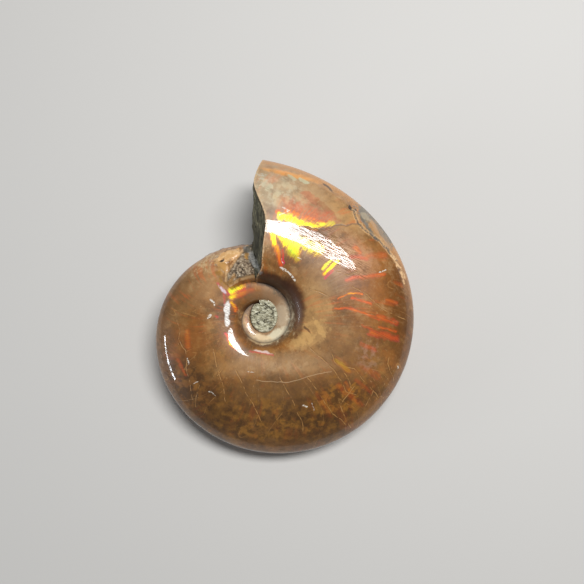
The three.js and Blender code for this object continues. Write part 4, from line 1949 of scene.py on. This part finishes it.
@dataclass(frozen=True)
class BrokenEdge:
    """The shell's worn lip along the break, pale and dull, with a brown line where the stone begins."""

    worn: Colour = seen(202, 172, 132)
    brown: Colour = seen(62, 44, 32)
    width: float = 0.3

    def lay(self, canvas: Canvas, finish: Finish) -> Finish:
        """Lays the lip by the depth into the break.

        Args:
            canvas: What finishes share.
            finish: What is below.

        Returns:
            The covered finish.
        """
        depth = canvas.broken + canvas.fray * 0.7
        lip = depth.rise(-self.width, -0.5 * self.width) * depth.rise(0.15, 0.0)
        lip = lip * canvas.grain.rise(0.40, 0.55) * 0.8
        finish = finish.under(lip, colour=self.worn, rough=0.7, metal=0.0, polish=0.25)
        brown = depth.rise(0.05, 0.2) * depth.rise(0.7, 0.3) * 0.6
        return finish.under(brown, colour=self.brown)


@dataclass(frozen=True)
class RemnantTones(Tones):
    """The raised tan shell beside the remnant's stone, ochre below it, and blue-grey stone by the break."""

    blots: tuple[Blot, ...] = (
        Blot((-8.6, 8.2), (2.6, 1.0), 38, seen(214, 186, 142), 0.6, 0.5, 2.0, 0.7),
        Blot((-6.1, 6.0), (0.8, 2.0), 8, seen(162, 116, 44), 0.8, 0.4, 2.0, 0.7),
        Blot((-5.4, 9.2), (2.2, 0.85), 24, seen(216, 168, 110), 0.95, 0.15, 2.4, dull=0.85),
        Blot((-5.9, 7.7), (0.7, 1.2), 10, seen(202, 152, 88), 0.85, 0.3, 2.4, dull=0.85),
        Blot((-5.2, 9.3), (1.8, 0.6), 24, seen(236, 200, 148), 0.7, 0.5, 2.4, 0.6),
        Blot((-4.6, 5.4), (0.4, 1.0), -30, seen(176, 128, 66), 0.7, 0.4, 2.4),
        Blot((-6.1, 8.6), (0.34, 0.26), 20, seen(58, 40, 28), 0.95, 0.2, 1.4),
        Blot((-1.5, 8.9), (2.1, 0.5), -59, seen(158, 158, 154), 0.75, 0.4, 2.6),
        Blot((-2.4, 10.4), (0.7, 0.6), 0, seen(92, 86, 72), 0.8, 0.4, 2.4),
        Blot((-2.4, 9.3), (0.34, 0.5), 30, seen(176, 128, 52), 0.8, 0.4, 2.0),
    )


class Layer(Protocol):
    """Anything that can be laid over a finish."""

    def lay(self, canvas: Canvas, finish: Finish) -> Finish:
        """Lays it over what is below."""


@dataclass(frozen=True)
class PolishedFossil:
    """The whole finish, from the shell's ground up to the bare stone."""

    layers: tuple[Layer, ...] = (
        Tones(),
        Mottling(),
        FireAndPaintedReflection(),
        PaintedGlints(),
        RimPatch(),
        Cracks(),
        Umbilicus(),
        GlintsAndScuffs(),
        StoneFinish(
            Stone.REMNANT,
            edge=(0.0, 0.3),
            tones=(
                (0.34, seen(56, 46, 36)),
                (0.45, seen(112, 94, 74)),
                (0.54, seen(158, 138, 112)),
                (0.66, seen(214, 200, 176)),
            ),
            grain=0.42,
            crack_size=(2.2, 1.4, 3.0),
            crack_width=0.010,
            crack_colour=seen(50, 40, 30),
            relief=0.14,
            rim=seen(210, 172, 124),
        ),
        StoneFinish(
            Stone.BROKEN,
            edge=(0.0, 0.1),
            tones=(
                (0.3, seen(36, 34, 26)),
                (0.44, seen(66, 63, 48)),
                (0.56, seen(106, 102, 80)),
                (0.7, seen(176, 170, 138)),
            ),
            grain=(0.5, 4.5, 0.5),
            crack_size=(3.0, 3.0, 0.8),
            crack_width=0.012,
            crack_colour=seen(34, 30, 26),
            relief=0.12,
        ),
        BrokenEdge(),
        StoneFinish(
            Stone.UMBILICAL,
            edge=(-0.04, 0.12),
            tones=(
                (0.32, seen(70, 64, 48)),
                (0.43, seen(150, 144, 118)),
                (0.53, seen(198, 194, 166)),
                (0.66, seen(236, 234, 212)),
            ),
            grain=(0.62, 0.30, 1.0),
            crack_size=(2.4, 1.0, 1.0),
            crack_width=0.014,
            crack_colour=seen(44, 38, 28),
            relief=0.16,
        ),
        RemnantTones(),
        Wear(),
    )
    gloss: float = 0.05

    def build(self) -> bpy.types.Material:
        """Lays every layer and feeds the result to one shader with a clear coat."""
        material = bpy.data.materials.new("polished_ammonite")
        material.use_nodes = True
        material.node_tree.nodes.clear()
        shader = Shader(material.node_tree)
        canvas = Canvas(shader)
        finish = Ground().lay(canvas)
        for layer in self.layers:
            finish = layer.lay(canvas, finish)
        specks = shader.noise(canvas.grown, (1.3, 0.17, 1.0), 1.0).rise(0.30, 0.35)
        bump = shader.node("ShaderNodeBump", values={"Height": finish.relief, "Distance": MM})
        values = {
            "Base Color": finish.colour,
            "Roughness": finish.rough,
            "Metallic": finish.metal,
            "Coat Weight": finish.polish * specks,
            "Coat Roughness": self.gloss,
            "Normal": Value(shader, bump.outputs["Normal"]),
        }
        surface = shader.node("ShaderNodeBsdfPrincipled", values=values)
        shader.node("ShaderNodeOutputMaterial", values={"Surface": Value(shader, surface.outputs["BSDF"])})
        return material


# --- the stage -------------------------------------------------------------------------------------------


@dataclass
class Viewpoint:
    """The camera, given over the level coil: what it looks at, from how far, how it leans and rolls."""

    aim: tuple[float, float, float] = (4.42, 4.20, 0.0)
    distance: float = 90.0
    lean: tuple[float, float] = (0.031, -0.019)
    roll: float = 0.032
    field: float = 89.44

    def build(self, rest: Rest) -> bpy.types.Object:
        """Makes the camera, looking at the aim with the level Y axis upward in its view, but for the roll.

        Args:
            rest: How the fossil lies.

        Returns:
            The camera.
        """
        away = np.array([*self.lean, 1.0])
        away /= np.linalg.norm(away)
        back = rest.direction(away)
        right = rest.direction((0, 1, 0)).cross(back).normalized()
        right.rotate(Quaternion(back, self.roll))
        up = back.cross(right)
        data = bpy.data.cameras.new("camera")
        data.sensor_width = data.sensor_height = 36.0
        data.lens = data.sensor_width * self.distance / self.field
        data.clip_start = 0.005
        camera = bpy.data.objects.new("camera", data)
        turn = Matrix((right, up, back)).transposed().to_4x4()
        camera.matrix_world = Matrix.Translation(rest.place(np.array(self.aim) + away * self.distance)) @ turn
        bpy.context.scene.collection.objects.link(camera)
        bpy.context.scene.camera = camera
        return camera


@dataclass(frozen=True)
class Softbox:
    """One area light, aimed at the fossil from a bearing and an elevation."""

    name: str
    shape: str
    bearing: float
    elevation: float
    distance: float
    size: tuple[float, float]
    watts: float
    roll: float = 0.0
    colour: Colour = WHITE

    def build(self) -> bpy.types.Object:
        """Makes the light, facing the frame's origin."""
        bearing, elevation = math.radians(self.bearing), math.radians(self.elevation)
        flat = math.cos(elevation)
        away = Vector((flat * math.cos(bearing), flat * math.sin(bearing), math.sin(elevation)))
        data = bpy.data.lights.new(self.name, "AREA")
        data.shape = self.shape
        data.size, data.size_y = self.size
        data.energy = self.watts
        data.color = self.colour
        light = bpy.data.objects.new(self.name, data)
        aimed = away.to_track_quat("Z", "Y").to_matrix().to_4x4()
        rolled = Matrix.Rotation(math.radians(self.roll), 4, "Z")
        light.matrix_world = Matrix.Translation(away * self.distance) @ (aimed @ rolled)
        bpy.context.scene.collection.objects.link(light)
        return light


@dataclass
class Studio:
    """A plain pale floor, a pale surround and soft lights."""

    floor_half: float = 0.6
    floor_colour: Colour = (0.60, 0.59, 0.57)
    surround: float = 0.09
    lights: tuple[Softbox, ...] = (
        Softbox("key_softbox", "ELLIPSE", 45.0, 66.0, 0.30, (0.21, 0.085), 0.98, 38.0),
        Softbox("margin_strip", "RECTANGLE", 197.0, 14.0, 0.30, (0.13, 0.013), 0.18, 0.0, (0.88, 0.94, 1.0)),
    )

    def build(self) -> bpy.types.Object:
        """Makes the floor, the surround and the lights.

        Returns:
            The floor.
        """
        signs = ((-1, -1), (1, -1), (1, 1), (-1, 1))
        corners = [(x * self.floor_half, y * self.floor_half, 0) for x, y in signs]
        mesh = bpy.data.meshes.new("floor")
        mesh.from_pydata(corners, [], [(0, 1, 2, 3)])
        floor = bpy.data.objects.new("floor", mesh)
        bpy.context.scene.collection.objects.link(floor)
        material = bpy.data.materials.new("pale_floor")
        material.use_nodes = True
        shader = material.node_tree.nodes["Principled BSDF"]
        shader.inputs["Base Color"].default_value = (*self.floor_colour, 1)
        shader.inputs["Roughness"].default_value = 0.8
        mesh.materials.append(material)
        world = bpy.data.worlds.new("surround")
        world.use_nodes = True
        world.node_tree.nodes["Background"].inputs["Strength"].default_value = self.surround
        world.node_tree.nodes["Background"].inputs["Color"].default_value = (*WHITE, 1)
        bpy.context.scene.world = world
        for light in self.lights:
            light.build()
        bpy.context.scene.view_settings.view_transform = "Standard"
        return floor


def main() -> None:
    """Builds the fossil and its stage, and reports each piece."""
    rest = Rest()
    shell = Fossil().build(rest)
    shell.data.materials.append(PolishedFossil().build())
    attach(shell, "root")
    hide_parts(NODE)
    log.info("%s: %d triangles", shell.name, len(shell.data.polygons))
    Viewpoint().build(rest)
    Studio().build()


if __name__ == "__main__":
    logging.basicConfig(level=logging.INFO, format="%(name)s: %(message)s")
    main()
